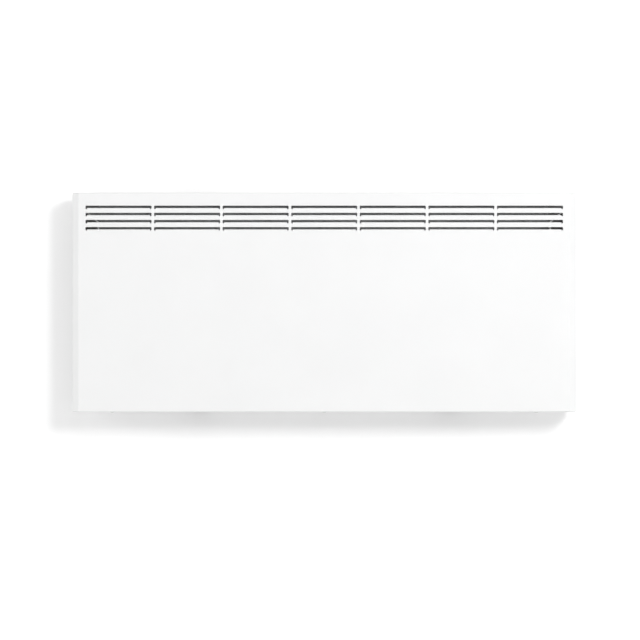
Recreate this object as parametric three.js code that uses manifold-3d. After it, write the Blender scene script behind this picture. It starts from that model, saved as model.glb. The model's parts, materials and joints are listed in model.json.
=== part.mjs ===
// A wall panel convector heater: a white sheet steel casing with a louvred outlet grille near its top, a finned
// heating element in a duct behind it, controls recessed in the right side, and the wall bracket it tips away from.
//
// Millimetres. X runs to the right as seen from the front, Y runs into the wall, Z runs up.
// The wall is the plane y = 0, and the origin is the middle of the wall bracket's back.

import * as THREE from "three";
import { mergeVertices } from "three/addons/utils/BufferGeometryUtils.js";
import Module from "manifold-3d";

const wasm = await Module();
wasm.setup();

// ---------------------------------------------------------------------------------------------------------------
// Driving sizes
// ---------------------------------------------------------------------------------------------------------------

const fit = 0.3; // clearance between pieces that touch

// Casing
const heaterWidth = 920;
const heaterHeight = 400;
const heaterDepth = 85; // wall to front face
const wallGap = 25; // wall to the back of the rear panel
const casingSheet = 0.8;
const innerSheet = 0.6;
const sideChamfer = 12; // slanted strip down each side of the front
const edgeRadius = 2.4; // bend along the top and bottom front edges
const chamferRadius = 1.2; // bends along the slanted strips
const returnSetback = 1.5; // how far the front panel's edges stop short of the rear panel's back
const rearFlange = 12; // depth of the rear panel's rim

// Outlet grille
const rows = 4;
const bayPitch = 125;
const grilleMargin = 20; // least plain width beside the grille
const bays = Math.floor((heaterWidth - 2 * grilleMargin) / bayPitch);
const rowPitch = 13;
const slotLength = 120.3;
const slotGap = 4.2; // open height between the lip and the sheet above it
const lipRadius = 2.2; // rolled bend of the lip under each slot
const lipReach = 3.6; // straight run of the lip behind its bend
const lipNotch = 2.7; // relief beside each end of a lip
const slotCorner = 1.4;
const grilleDrop = 23.6; // top of the casing to the top of the first slot

// Intake slots in the underside
const intakeRows = 3;
const intakeLength = 108;
const intakeWidth = 7;
const intakePitch = 12;
const intakeFront = 22; // front face to the middle of the first row

// Air duct. Heights are measured up from the bottom of the casing, and drops down from its top.
const endSpace = 48; // width of the compartment at each end of the duct
const ductRise = 12;
const flareDrop = 54;
const flareRun = 33; // sideways reach of the flare at the top of each duct end wall
const flareRise = 29;
const wallFoot = 12; // flange of each end wall on the rear panel
const shieldStandoff = 8; // heat shield in front of the rear panel
const shieldRise = 32;
const shieldDrop = 86;
const shieldFoot = 12;
const deflectorLap = 18; // overlap of the outlet deflector on the heat shield
const deflectorStartDrop = 75; // where the deflector starts to curve forward
const deflectorDrop = 13;
const deflectorNose = 5; // deflector's front edge to the front face

// Heating element
const elementRise = 92; // bottom of the casing to the element's axis
const elementSetback = 28; // front face to the element's axis
const finEnd = 52; // end of the fins to the duct end wall
const hubRadius = 7;
const sheathRadius = 4.2;
const sheathOverhang = 14; // reach of the sheath past each duct end wall
const finSpan = 34; // hub axis to the tip of a fin
const finLean = THREE.MathUtils.degToRad(30); // lean of each fin from the vertical
const finThickness = 1.6;
const finRibs = 4;
const finRibHeight = 1.8;
const bushRadius = 9.5;
const bushNeck = 7;
const bushLength = 18;
const studRadius = 2;
const studLength = 14;
const restThickness = 1;
const restWidth = 16;

// Over-heat cut-out on the heat shield
const cutoutInset = 112; // duct end wall to the cut-out
const cutoutZ = 30;
const cutoutRadius = 8;
const cutoutFlange = 11;

// Controls in the right side
const controlDrop = 138; // top of the casing to the middle of the control recess
const controlSetback = 30; // front face to the middle of the control recess
const windowWidth = 30;
const windowHeight = 96;
const windowCorner = 5;
const trayDepth = 12;
const trayWall = 1.5;
const trayRim = 2;
const knobInset = 27; // upper end of the recess to the knob's axis
const knobRadius = 11.5;
const knobGrips = 18;
const shaftRadius = 3;
const switchInset = 23; // lower end of the recess to the middle of the switch
const switchWidth = 15;
const switchHeight = 21;
const switchBody = 14; // depth of the switch behind the tray
const switchRim = 1.6;
const rockerWidth = 10;
const rockerRadius = 7.7;
const rockerTilt = THREE.MathUtils.degToRad(11); // half of the rocker's travel
const lampOffset = 4; // middle of the recess down to the lamp
const lampRadius = 2.5;
const boardWidth = 40;
const boardInset = 11; // end of the recess to the end of the circuit board
const boardThickness = 1.6;
const potentiometerSide = 17;
const relayWidth = 10;
const relayHeight = 24;
const relayDepth = 12;
const relayRise = 6; // lower end of the board to the relay
const postRadius = 3;
const screwPostInset = 6.5; // end of the recess to each tray screw

// Supply, earth and sensor in the right end compartment, measured from the duct end wall and the casing's bottom
const glandInset = 24.4;
const glandRise = 30;
const glandRadius = 8;
const glandHead = 11;
const glandBore = 4;
const terminalRise = 64;
const terminalWidth = 28;
const terminalHeight = 20;
const terminalDepth = 17;
const terminalPitch = 8.5;
const earthInset = 21.4;
const earthRise = 116;
const sensorInset = 23.4;
const sensorSetback = 23; // front face to the middle of the sensor
const sensorRise = 20;
const sensorRadius = 2.6;
const sensorLength = 18;

// Wall bracket
const uprightSpacing = 460;
const uprightWidth = 40;
const uprightSheet = 1.5;
const uprightDrop = 35; // top of the casing to the top of the uprights
const uprightRise = 6;
const uprightBend = 3;
const railHeight = 40;
const railLap = 28; // overlap of each rail end on an upright
const pivotSetback = 11; // rear panel's back to the pivot axis
const pivotRise = 18;
const pinRadius = 3;
const pinLength = 46;
const hookAngle = THREE.MathUtils.degToRad(135); // direction in which the hooks open, forward and up
const earRadius = 8;
const earSheet = 1.5;
const pivotPlateHeight = 34;
const pivotRivetDrop = 6;
const pivotRivetPitch = 9;
const rivetRadius = 2.4;
const rivetHead = 4.4;
const rivetHeadHeight = 1.5;
const springSheet = 0.8;
const springWidth = 18;
const springHeight = 54; // foot of a latch spring to its nose
const latchDrop = 48; // top of the casing to the latch nose
const latchNose = 6.5; // reach of the nose past the back of the rear panel
const latchSlotHeight = 15;
const wallSlotDrops = [47, 121]; // screw slots of each upright, down from its top
const wallSlotRises = [54, 134]; // and up from its bottom

// Stiffening beads pressed into the rear panel
const beadDepth = 1;
const beadWidth = 16;
const beadEnd = 22; // end of a bead to the duct end wall
const beadZ = [-60, 60];

// Casing screws
const screwRadius = 1.9;
const screwHead = 4;
const screwHeadHeight = 1.8;
const screwLength = 9;
const casingScrewInset = 70; // side of the casing to the outer casing screws

// ---------------------------------------------------------------------------------------------------------------
// Places worked out from the driving sizes
// ---------------------------------------------------------------------------------------------------------------

const halfWidth = heaterWidth / 2;
const halfHeight = heaterHeight / 2;
const frontY = -heaterDepth;
const rearY = -wallGap;
const rearInsideY = rearY - casingSheet;
const frontInsideY = frontY + casingSheet;
const returnEndY = rearY - returnSetback;
const rearHalfWidth = halfWidth - casingSheet - fit;
const rearHalfHeight = halfHeight - casingSheet - fit;
const shieldY = rearInsideY - shieldStandoff; // back face of the heat shield
const lipDepth = lipRadius + lipReach; // how far the lips reach behind the front face
const lowestSlot = halfHeight - grilleDrop - (rows - 1) * rowPitch;
const lowestLip = lowestSlot - slotGap - lipRadius - 1;
const ductHalfWidth = halfWidth - endSpace;
const wallX = ductHalfWidth + innerSheet; // outer face of a duct end wall
const ductBottom = -halfHeight + ductRise;
const flareStart = halfHeight - flareDrop;
const shieldBottom = -halfHeight + shieldRise;
const shieldTop = halfHeight - shieldDrop;
const deflectorStart = halfHeight - deflectorStartDrop;
const deflectorTop = halfHeight - deflectorDrop;
const elementY = frontY + elementSetback;
const elementHeight = -halfHeight + elementRise;
const finLength = 2 * (ductHalfWidth - finEnd);
const sheathLength = 2 * (ductHalfWidth + sheathOverhang);
const cutoutX = ductHalfWidth - cutoutInset;
const controlZ = halfHeight - controlDrop;
const controlY = frontY + controlSetback;
const knobZ = controlZ + windowHeight / 2 - knobInset;
const switchZ = controlZ - windowHeight / 2 + switchInset;
const lampZ = controlZ - lampOffset;
const screwPostZ = windowHeight / 2 - screwPostInset; // middle of the recess to each tray screw
const boardHeight = windowHeight - 2 * boardInset;
const trayX = halfWidth - casingSheet - fit; // outer face of the control tray's rim
const trayFloorX = trayX - trayDepth;
const trayBackX = trayFloorX - trayWall;
const boardX = trayBackX - switchBody - 1; // front face of the circuit board
const boardBackX = boardX - boardThickness;
const rockerX = trayFloorX + fit + switchRim; // axis of the rocker
const beadLength = 2 * (ductHalfWidth - beadEnd);
const boardLowZ = controlZ - boardHeight / 2;
const casingScrewY = rearY - rearFlange / 2;
const casingScrewX = [casingScrewInset - halfWidth, 0, halfWidth - casingScrewInset];
const glandX = wallX + glandInset;
const glandZ = -halfHeight + glandRise;
const terminalX = wallX + wallFoot + fit + terminalWidth / 2;
const terminalZ = -halfHeight + terminalRise;
const earthX = wallX + earthInset;
const earthZ = -halfHeight + earthRise;
const sensorX = wallX + sensorInset;
const sensorY = frontY + sensorSetback;
const sensorZ = -halfHeight + sensorRise;
const uprightDepth = wallGap - fit;
const uprightTop = halfHeight - uprightDrop;
const uprightBottom = -halfHeight + uprightRise;
const pivotY = rearY + pivotSetback;
const pivotZ = -halfHeight + pivotRise;
const pivotPlateTop = pivotZ - earRadius + pivotPlateHeight;
const latchZ = halfHeight - latchDrop;
const springFoot = latchZ - springHeight;
const wallSlotZ = [
  ...wallSlotDrops.map((drop) => uprightTop - drop),
  ...wallSlotRises.map((rise) => uprightBottom + rise),
];

// ---------------------------------------------------------------------------------------------------------------
// Outlines
// ---------------------------------------------------------------------------------------------------------------

const sides = [
  [-1, "left"],
  [1, "right"],
];

// The arc, or the plain corner, at one point of an outline. A corner is [u, v] or [u, v, radius].
function cornerPoints(before, corner, after, steps) {
  const at = new THREE.Vector2(corner[0], corner[1]);
  const radius = corner[2] || 0;
  if (!radius || !before || !after) return [at];
  const back = new THREE.Vector2(before[0], before[1]).sub(at).normalize();
  const onward = new THREE.Vector2(after[0], after[1]).sub(at).normalize();
  const half = back.angleTo(onward) / 2;
  const start = at.clone().addScaledVector(back, radius / Math.tan(half));
  const end = at.clone().addScaledVector(onward, radius / Math.tan(half));
  const middle = back.clone().add(onward).normalize();
  const centre = at.clone().addScaledVector(middle, radius / Math.sin(half));
  const from = start.clone().sub(centre).angle();
  const turn = end.clone().sub(centre).angle() - from;
  const sweep = Math.atan2(Math.sin(turn), Math.cos(turn));
  const points = [];
  for (let step = 0; step <= steps; step += 1) {
    const angle = from + (sweep * step) / steps;
    points.push(new THREE.Vector2(radius * Math.cos(angle), radius * Math.sin(angle)).add(centre));
  }
  return points;
}

// A closed outline with rounded corners.
function outline(corners, steps = 2) {
  const count = corners.length;
  return corners.flatMap((corner, index) => {
    const before = corners[(index + count - 1) % count];
    const after = corners[(index + 1) % count];
    return cornerPoints(before, corner, after, steps);
  });
}

function rectangle(middleU, middleV, width, height, radius = 0, steps = 2) {
  const u = width / 2;
  const v = height / 2;
  const corners = [
    [middleU - u, middleV - v, radius],
    [middleU + u, middleV - v, radius],
    [middleU + u, middleV + v, radius],
    [middleU - u, middleV + v, radius],
  ];
  return outline(corners, steps);
}

// A bent strip of sheet, seen on its edge: a path down its middle, thickened to both sides.
function strip(corners, thickness, steps = 3) {
  const path = corners.flatMap((corner, index) =>
    cornerPoints(corners[index - 1], corner, corners[index + 1], steps),
  );
  const offsets = path.map((point, index) => {
    const last = path[Math.max(index - 1, 0)];
    const next = path[Math.min(index + 1, path.length - 1)];
    const inward = (index ? point.clone().sub(last) : next.clone().sub(point)).normalize();
    const outward = (next === point ? point.clone().sub(last) : next.clone().sub(point)).normalize();
    const across = inward.clone().add(outward).normalize();
    const reach = thickness / 2 / Math.max(across.dot(outward), 0.3);
    return new THREE.Vector2(-across.y, across.x).multiplyScalar(reach);
  });
  const one = path.map((point, index) => point.clone().add(offsets[index]));
  const other = path.map((point, index) => point.clone().sub(offsets[index]));
  return one.concat(other.reverse());
}

function circle(middleU, middleV, radius, steps) {
  const points = [];
  for (let step = 0; step < steps; step += 1) {
    const angle = (2 * Math.PI * step) / steps;
    points.push(new THREE.Vector2(middleU + radius * Math.cos(angle), middleV + radius * Math.sin(angle)));
  }
  return points;
}

// ---------------------------------------------------------------------------------------------------------------
// Solids
// ---------------------------------------------------------------------------------------------------------------

function solidOf(geometry) {
  const bare = geometry.clone();
  bare.deleteAttribute("normal");
  bare.deleteAttribute("uv");
  const merged = mergeVertices(bare, 1e-4);
  const mesh = new wasm.Mesh({
    numProp: 3,
    vertProperties: merged.attributes.position.array,
    triVerts: new Uint32Array(merged.index.array),
  });
  return new wasm.Manifold(mesh);
}

function geometryOf(solid) {
  const mesh = solid.getMesh();
  const geometry = new THREE.BufferGeometry();
  geometry.setAttribute("position", new THREE.BufferAttribute(mesh.vertProperties, 3));
  geometry.setIndex(new THREE.BufferAttribute(mesh.triVerts, 1));
  geometry.computeVertexNormals();
  return geometry;
}

function join(first, ...others) {
  return others.flat().reduce((whole, piece) => whole.add(piece), first);
}

function cut(first, ...others) {
  return others.flat().reduce((whole, piece) => whole.subtract(piece), first);
}

function extruded(points, depth, matrix) {
  const shape = new THREE.Shape(points);
  const geometry = new THREE.ExtrudeGeometry(shape, { depth, bevelEnabled: false });
  return solidOf(geometry.applyMatrix4(matrix));
}

// Outline in (x, y), extruded from one height to another.
function alongZ(points, from, to) {
  return extruded(points, to - from, new THREE.Matrix4().makeTranslation(0, 0, from));
}

// Outline in (y, z), extruded from one x to another.
function alongX(points, from, to) {
  const turn = new THREE.Matrix4().makeBasis(
    new THREE.Vector3(0, 1, 0),
    new THREE.Vector3(0, 0, 1),
    new THREE.Vector3(1, 0, 0),
  );
  return extruded(points, to - from, turn.setPosition(from, 0, 0));
}

// Outline in (x, z), extruded from a front y to a back y.
function alongY(points, front, back) {
  const turn = new THREE.Matrix4().makeBasis(
    new THREE.Vector3(1, 0, 0),
    new THREE.Vector3(0, 0, 1),
    new THREE.Vector3(0, -1, 0),
  );
  return extruded(points, back - front, turn.setPosition(0, back, 0));
}

function rodX(radius, from, to, y, z, steps = 12) {
  return alongX(circle(y, z, radius, steps), from, to);
}

function rodY(radius, front, back, x, z, steps = 12) {
  return alongY(circle(x, z, radius, steps), front, back);
}

function rodZ(radius, from, to, x, y, steps = 12) {
  return alongZ(circle(x, y, radius, steps), from, to);
}

// A solid of revolution about its own y axis. The profile is [distance along the axis, radius], either way round.
function turned(profile, steps) {
  const points = profile.map(([along, radius]) => new THREE.Vector2(radius, along));
  if (THREE.ShapeUtils.area(points) < 0) points.reverse();
  return new THREE.LatheGeometry(points, steps);
}

function turnedX(profile, y, z, steps = 16) {
  return solidOf(turned(profile, steps).rotateZ(-Math.PI / 2).translate(0, y, z));
}

function turnedY(profile, x, z, steps = 16) {
  return solidOf(turned(profile, steps).translate(x, 0, z));
}

// A wire along a smooth curve through points chosen by hand.
function wire(points, radius, steps) {
  const path = new THREE.CatmullRomCurve3(points.map((point) => new THREE.Vector3(...point)));
  const section = new THREE.Shape(circle(0, 0, radius, 8));
  return new THREE.ExtrudeGeometry(section, { extrudePath: path, steps, bevelEnabled: false });
}

// ---------------------------------------------------------------------------------------------------------------
// Materials
// ---------------------------------------------------------------------------------------------------------------

function finish(color, roughness, metalness) {
  return new THREE.MeshStandardMaterial({ color, roughness, metalness });
}

const whitePaint = finish(0xf6f6f4, 0.45, 0);
const zincSteel = finish(0xaeb2b5, 0.4, 0.9);
const springSteel = finish(0x7f8488, 0.35, 1);
const aluminium = finish(0xc3c6c9, 0.4, 1);
const sheathSteel = finish(0x8b8f90, 0.45, 0.9);
const ceramic = finish(0xe9e4d6, 0.5, 0);
const whitePlastic = finish(0xeeeeec, 0.5, 0);
const greyPlastic = finish(0x5d6266, 0.55, 0);
const blackPlastic = finish(0x1b1c1d, 0.5, 0);
const boardGreen = finish(0x2d6a45, 0.6, 0);
const lensRed = finish(0xc8301f, 0.15, 0);
const brass = finish(0xc9a24a, 0.35, 1);
const wireBrown = finish(0x6b3a22, 0.5, 0);
const wireBlue = finish(0x2c5da8, 0.5, 0);
const wireGreen = finish(0x9fb52b, 0.5, 0);
const wireWhite = finish(0xe4e2dc, 0.5, 0);

function named(name, shape, material) {
  const geometry = shape.isBufferGeometry ? shape : geometryOf(shape);
  const mesh = new THREE.Mesh(geometry, material);
  mesh.name = name;
  return mesh;
}

// ---------------------------------------------------------------------------------------------------------------
// Casing
// ---------------------------------------------------------------------------------------------------------------

// The casing's outline from above, drawn in by the sheet's thickness for its inner face.
function casingPlan(inset, backY) {
  const half = halfWidth - inset;
  const shift = sideChamfer + inset * (Math.SQRT2 - 1);
  const flat = halfWidth - shift;
  const radius = Math.max(chamferRadius - inset, 0.2);
  return outline(
    [
      [-half, backY],
      [-half, frontY + shift, radius],
      [-flat, frontY + inset, radius],
      [flat, frontY + inset, radius],
      [half, frontY + shift, radius],
      [half, backY],
    ],
    2,
  );
}

function casingBlock(inset, backY) {
  const half = halfHeight - inset;
  const radius = edgeRadius - inset;
  const side = outline(
    [
      [backY, -half],
      [backY, half],
      [frontY + inset, half, radius],
      [frontY + inset, -half, radius],
    ],
    4,
  );
  const plan = alongZ(casingPlan(inset, backY), -halfHeight, halfHeight);
  return plan.intersect(alongX(side, -halfWidth, halfWidth));
}

function bayCentre(bay) {
  return (bay - (bays - 1) / 2) * bayPitch;
}

function slotTop(row) {
  return halfHeight - grilleDrop - row * rowPitch;
}

// One opening of the grille, down to the foot of its lip.
function slotCutter(bay, row) {
  const height = slotGap + lipRadius;
  const middle = slotTop(row) - height / 2;
  const hole = rectangle(bayCentre(bay), middle, slotLength, height, slotCorner);
  return alongY(hole, frontY - 1, frontInsideY + 1);
}

// The rolled lip along the lower edge of an opening: sheet that curls inwards and runs back level.
function slotLip(bay, row) {
  const foot = slotTop(row) - slotGap - lipRadius;
  const middleY = frontY + casingSheet / 2;
  const bend = lipRadius - casingSheet / 2;
  const profile = strip(
    [
      [middleY, foot - 1],
      [middleY, foot + bend, bend],
      [frontY + lipRadius + lipReach, foot + bend],
    ],
    casingSheet,
  );
  const half = slotLength / 2 - lipNotch;
  return alongX(profile, bayCentre(bay) - half, bayCentre(bay) + half);
}

function intakeCutter(bay, row) {
  const middleY = frontY + intakeFront + row * intakePitch;
  const hole = rectangle(bayCentre(bay), middleY, intakeLength, intakeWidth, intakeWidth / 2 - 0.01);
  return alongZ(hole, -halfHeight - 1, -halfHeight + casingSheet + 1);
}

function casingScrewHoles(from, to) {
  return casingScrewX.map((x) => rodZ(screwRadius + fit, from, to, x, casingScrewY, 12));
}

function frontPanel() {
  const shell = cut(casingBlock(0, returnEndY), casingBlock(casingSheet, returnEndY + 1));
  const openings = [];
  const lips = [];
  for (let bay = 0; bay < bays; bay += 1) {
    for (let row = 0; row < rows; row += 1) {
      openings.push(slotCutter(bay, row));
      lips.push(slotLip(bay, row));
    }
    for (let row = 0; row < intakeRows; row += 1) openings.push(intakeCutter(bay, row));
  }
  const control = rectangle(controlY, controlZ, windowWidth, windowHeight, windowCorner, 3);
  openings.push(alongX(control, halfWidth - casingSheet - 1, halfWidth + 1));
  openings.push(...casingScrewHoles(-halfHeight - 1, -halfHeight + casingSheet + 1));
  return join(cut(shell, openings), lips);
}

function latchSlot(side) {
  const hole = rectangle(
    (side * uprightSpacing) / 2,
    latchZ,
    springWidth + 4,
    latchSlotHeight,
    1.5,
  );
  return alongY(hole, rearInsideY - 1, rearY + 1);
}

// Where the two rivets of a pivot bracket stand, one over the other.
function pivotRivetZ(index) {
  return pivotPlateTop - pivotRivetDrop - index * pivotRivetPitch;
}

// One long bead with sloping sides. The growth gives the inner face of the sheet its own larger block.
function beadBlock(z, growth, backY) {
  const floorY = rearY - beadDepth - growth;
  const half = beadWidth / 2 + growth;
  const slope = outline([
    [floorY, z - half],
    [backY, z - half - (backY - floorY)],
    [backY, z + half + (backY - floorY)],
    [floorY, z + half],
  ]);
  const length = beadLength + 2 * growth;
  const plan = rectangle(0, z, length, beadWidth + 4 * beadDepth, beadWidth / 2 + beadDepth, 5);
  const run = alongX(slope, -length / 2, length / 2);
  return run.intersect(alongY(plan, floorY, backY));
}

function rearPanel() {
  const frontEdge = rearY - rearFlange;
  const outside = alongY(
    rectangle(0, 0, 2 * rearHalfWidth, 2 * rearHalfHeight),
    frontEdge,
    rearY,
  );
  const inside = alongY(
    rectangle(0, 0, 2 * (rearHalfWidth - casingSheet), 2 * (rearHalfHeight - casingSheet)),
    frontEdge - 1,
    rearInsideY,
  );
  const holes = casingScrewHoles(-halfHeight - 1, -rearHalfHeight + casingSheet + 1);
  for (const [side] of sides) {
    holes.push(latchSlot(side));
    for (const index of [0, 1]) {
      const x = (side * uprightSpacing) / 2;
      holes.push(rodY(rivetRadius + fit, rearInsideY - 1, rearY + 1, x, pivotRivetZ(index), 12));
    }
  }
  holes.push(rodY(glandRadius + fit, rearInsideY - 1, rearY + 1, glandX, glandZ, 20));
  const ridges = beadZ.map((z) => beadBlock(z, casingSheet, rearInsideY + 0.1));
  const hollows = beadZ.map((z) => beadBlock(z, 0, rearY + 1));
  return cut(join(cut(outside, inside), ...ridges), holes, hollows);
}

function casingScrew() {
  const seat = -halfHeight - fit;
  const head = rodZ(screwHead, seat - screwHeadHeight, seat, 0, 0, 14);
  const shank = rodZ(screwRadius, seat - 0.5, seat + screwLength, 0, 0, 10);
  const drive = [0, Math.PI / 2].map((angle) => {
    const bar = new THREE.BoxGeometry(1, 4.6, 1.2).rotateZ(angle);
    return solidOf(bar.translate(0, 0, seat - screwHeadHeight));
  });
  return cut(join(head, shank), drive);
}

// ---------------------------------------------------------------------------------------------------------------
// Air duct
// ---------------------------------------------------------------------------------------------------------------

// An end wall of the duct: upright beside the element, then flared out below the first row of slots.
function ductEndWall(side) {
  const x = side * (ductHalfWidth + innerSheet / 2);
  const reach = flareRun + wallFoot;
  const profile = strip(
    [
      [x, ductBottom],
      [x, flareStart, 4],
      [x + side * flareRun, flareStart + flareRise, 3],
      [x + side * flareRun, flareStart + flareRise + 8],
    ],
    innerSheet,
  );
  const plateBack = rearInsideY - fit;
  const plate = alongY(profile, frontInsideY + fit, plateBack);
  const foot = alongY(
    rectangle(
      x + (side * wallFoot) / 2,
      (ductBottom + flareStart - 8) / 2,
      wallFoot,
      flareStart - 8 - ductBottom,
    ),
    plateBack - innerSheet,
    plateBack,
  );
  const bushHole = rodX(bushNeck + fit, x - reach, x + reach, elementY, elementHeight, 20);
  const leadZ = side < 0 ? earthZ : cutoutZ;
  const leadNotch = alongX(rectangle(plateBack, leadZ, 14, 9, 2), x - reach, x + reach);
  const lipRelief = alongX(
    rectangle(frontY, (lowestLip + halfHeight) / 2 - fit, 2 * (lipDepth + fit), halfHeight - lowestLip),
    x - reach,
    x + reach,
  );
  return cut(join(plate, foot), bushHole, leadNotch, lipRelief);
}

function heatShield() {
  const face = shieldY - innerSheet / 2;
  const foot = rearInsideY - fit - innerSheet / 2;
  const profile = strip(
    [
      [foot, shieldBottom - shieldFoot - shieldStandoff],
      [foot, shieldBottom - shieldStandoff, 1.2],
      [face, shieldBottom, 1.2],
      [face, shieldTop, 1.2],
      [foot, shieldTop + shieldStandoff, 1.2],
      [foot, shieldTop + shieldStandoff + shieldFoot],
    ],
    innerSheet,
  );
  const half = ductHalfWidth - fit;
  const cutoutHole = rodY(cutoutRadius + fit, shieldY - 3, shieldY + 3, cutoutX, cutoutZ, 20);
  return cut(alongX(profile, -half, half), cutoutHole);
}

// The curved sheet that turns the warm air forward through the grille.
function outletDeflector() {
  const back = shieldY - innerSheet - fit - innerSheet / 2;
  const front = frontY + deflectorNose;
  const reach = back - front;
  const rise = deflectorTop - deflectorStart;
  const path = [[back, shieldTop - deflectorLap]];
  const steps = 9;
  for (let step = 0; step <= steps; step += 1) {
    const angle = ((Math.PI / 2) * step) / steps;
    path.push([front + reach * Math.cos(angle), deflectorStart + rise * Math.sin(angle)]);
  }
  const half = ductHalfWidth - fit;
  return alongX(strip(path, innerSheet), -half, half);
}

// ---------------------------------------------------------------------------------------------------------------
// Heating element
// ---------------------------------------------------------------------------------------------------------------

// One fin of the extruded section, with small ribs on both faces. It runs out along its own u axis.
function finOutline() {
  const half = finThickness / 2;
  const start = hubRadius - 1;
  const pitch = (finSpan - hubRadius - 2) / finRibs;
  const upper = [];
  for (let rib = 0; rib < finRibs; rib += 1) {
    const at = hubRadius + 3 + rib * pitch;
    upper.push([at, half], [at + 0.8, half + finRibHeight], [at + 1.6, half + finRibHeight]);
    upper.push([at + 2.4, half]);
  }
  const lower = upper.map(([u, v]) => [u, -v]).reverse();
  return [[start, half], ...upper, [finSpan, half], [finSpan, -half], ...lower, [start, -half]];
}

function elementFins() {
  const ends = [-finLength / 2, finLength / 2];
  const hub = rodX(hubRadius, ...ends, elementY, elementHeight, 20);
  const leans = [Math.PI / 2 - finLean, Math.PI / 2 + finLean];
  const angles = [...leans, ...leans.map((angle) => angle + Math.PI)];
  const fins = angles.map((angle) => {
    const points = finOutline().map(([u, v]) => {
      const point = new THREE.Vector2(u, v).rotateAround(new THREE.Vector2(), angle);
      return point.add(new THREE.Vector2(elementY, elementHeight));
    });
    return alongX(points, ...ends);
  });
  const bore = rodX(sheathRadius + fit, ends[0] - 1, ends[1] + 1, elementY, elementHeight, 16);
  return cut(join(hub, fins), bore);
}

function elementSheath() {
  const half = sheathLength / 2;
  return rodX(sheathRadius, -half, half, elementY, elementHeight, 16);
}

// A grooved ceramic bush that holds the sheath in a duct end wall.
function elementBush(side) {
  const wallMiddle = ductHalfWidth + innerSheet / 2;
  const groove = innerSheet / 2 + fit;
  const half = bushLength / 2;
  const bore = sheathRadius + fit;
  const profile = [
    [-half, bore],
    [-half, bushNeck],
    [-groove - 4, bushRadius],
    [-groove, bushRadius],
    [-groove, bushNeck],
    [groove, bushNeck],
    [groove, bushRadius],
    [groove + 4, bushRadius],
    [half, bushNeck],
    [half, bore],
    [-half, bore],
  ];
  const placed = profile.map(([along, radius]) => [side * wallMiddle + along, radius]);
  return turnedX(placed, elementY, elementHeight);
}

function elementStud(side) {
  const start = sheathLength / 2 + fit;
  const ends = side < 0 ? [-start - studLength, -start] : [start, start + studLength];
  const stud = rodX(studRadius, ...ends, elementY, elementHeight, 10);
  const collarAt = side < 0 ? [-start - 4, -start - 2.4] : [start + 2.4, start + 4];
  return join(stud, rodX(studRadius + 2, ...collarAt, elementY, elementHeight, 6));
}

// The bracket on the heat shield that the middle of the element rests on.
function elementRest() {
  const foot = shieldY - innerSheet - fit - restThickness / 2;
  const tipY = finSpan * Math.sin(finLean) + finThickness;
  const lowest = elementHeight - finSpan * Math.cos(finLean) - (finThickness / 2) * Math.sin(finLean);
  const shelf = lowest - fit - restThickness / 2;
  const profile = strip(
    [
      [foot, shelf - 16],
      [foot, shelf, 1.5],
      [elementY - tipY - 3, shelf, 1.5],
      [elementY - tipY - 3, shelf + 8],
    ],
    restThickness,
  );
  return alongX(profile, -restWidth / 2, restWidth / 2);
}

function thermalCutout() {
  const faceY = shieldY - innerSheet - fit;
  const body = rodY(cutoutRadius, faceY - 5, rearInsideY - 3, cutoutX, cutoutZ, 20);
  const flange = rodY(cutoutFlange, faceY - 1, faceY, cutoutX, cutoutZ, 20);
  return join(body, flange);
}

// ---------------------------------------------------------------------------------------------------------------
// Controls
// ---------------------------------------------------------------------------------------------------------------

// The recessed tray behind the window in the casing's right side.
function controlTray() {
  const rim = alongX(
    rectangle(
      controlY,
      controlZ,
      windowWidth + 2 * trayRim,
      windowHeight + 5 * trayRim,
      windowCorner + trayRim,
      3,
    ),
    trayX - trayWall,
    trayX,
  );
  const tub = alongX(
    rectangle(
      controlY,
      controlZ,
      windowWidth + trayWall,
      windowHeight + trayWall,
      windowCorner,
      3,
    ),
    trayBackX,
    trayX - 0.5,
  );
  const hollow = alongX(
    rectangle(
      controlY,
      controlZ,
      windowWidth - trayWall,
      windowHeight - trayWall,
      windowCorner - 1,
      3,
    ),
    trayFloorX,
    trayX + 1,
  );
  const shaftHole = rodX(shaftRadius + 1, trayBackX - 1, trayFloorX + 1, controlY, knobZ, 16);
  const lampHole = rodX(lampRadius + fit, trayBackX - 1, trayFloorX + 1, controlY, lampZ, 14);
  const switchHole = alongX(
    rectangle(controlY, switchZ, switchWidth - 2 + 2 * fit, switchHeight - 3 + 2 * fit),
    trayBackX - 1,
    trayFloorX + 1,
  );
  const screwHoles = [-screwPostZ, screwPostZ].map((z) =>
    rodX(screwRadius - 0.4 + fit, trayBackX - 1, trayFloorX + 1, controlY, controlZ + z, 10),
  );
  return cut(join(rim, tub), hollow, shaftHole, lampHole, switchHole, screwHoles);
}

function bezelScrew(z) {
  const seat = trayFloorX + fit;
  const head = rodX(screwHead - 1.2, seat, seat + 1.4, controlY, controlZ + z, 12);
  const shank = rodX(screwRadius - 0.4, seat - 7, seat + 0.5, controlY, controlZ + z, 8);
  const slot = alongX(rectangle(controlY, controlZ + z, 4, 0.8), seat + 0.7, seat + 2);
  return cut(join(head, shank), slot);
}

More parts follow.
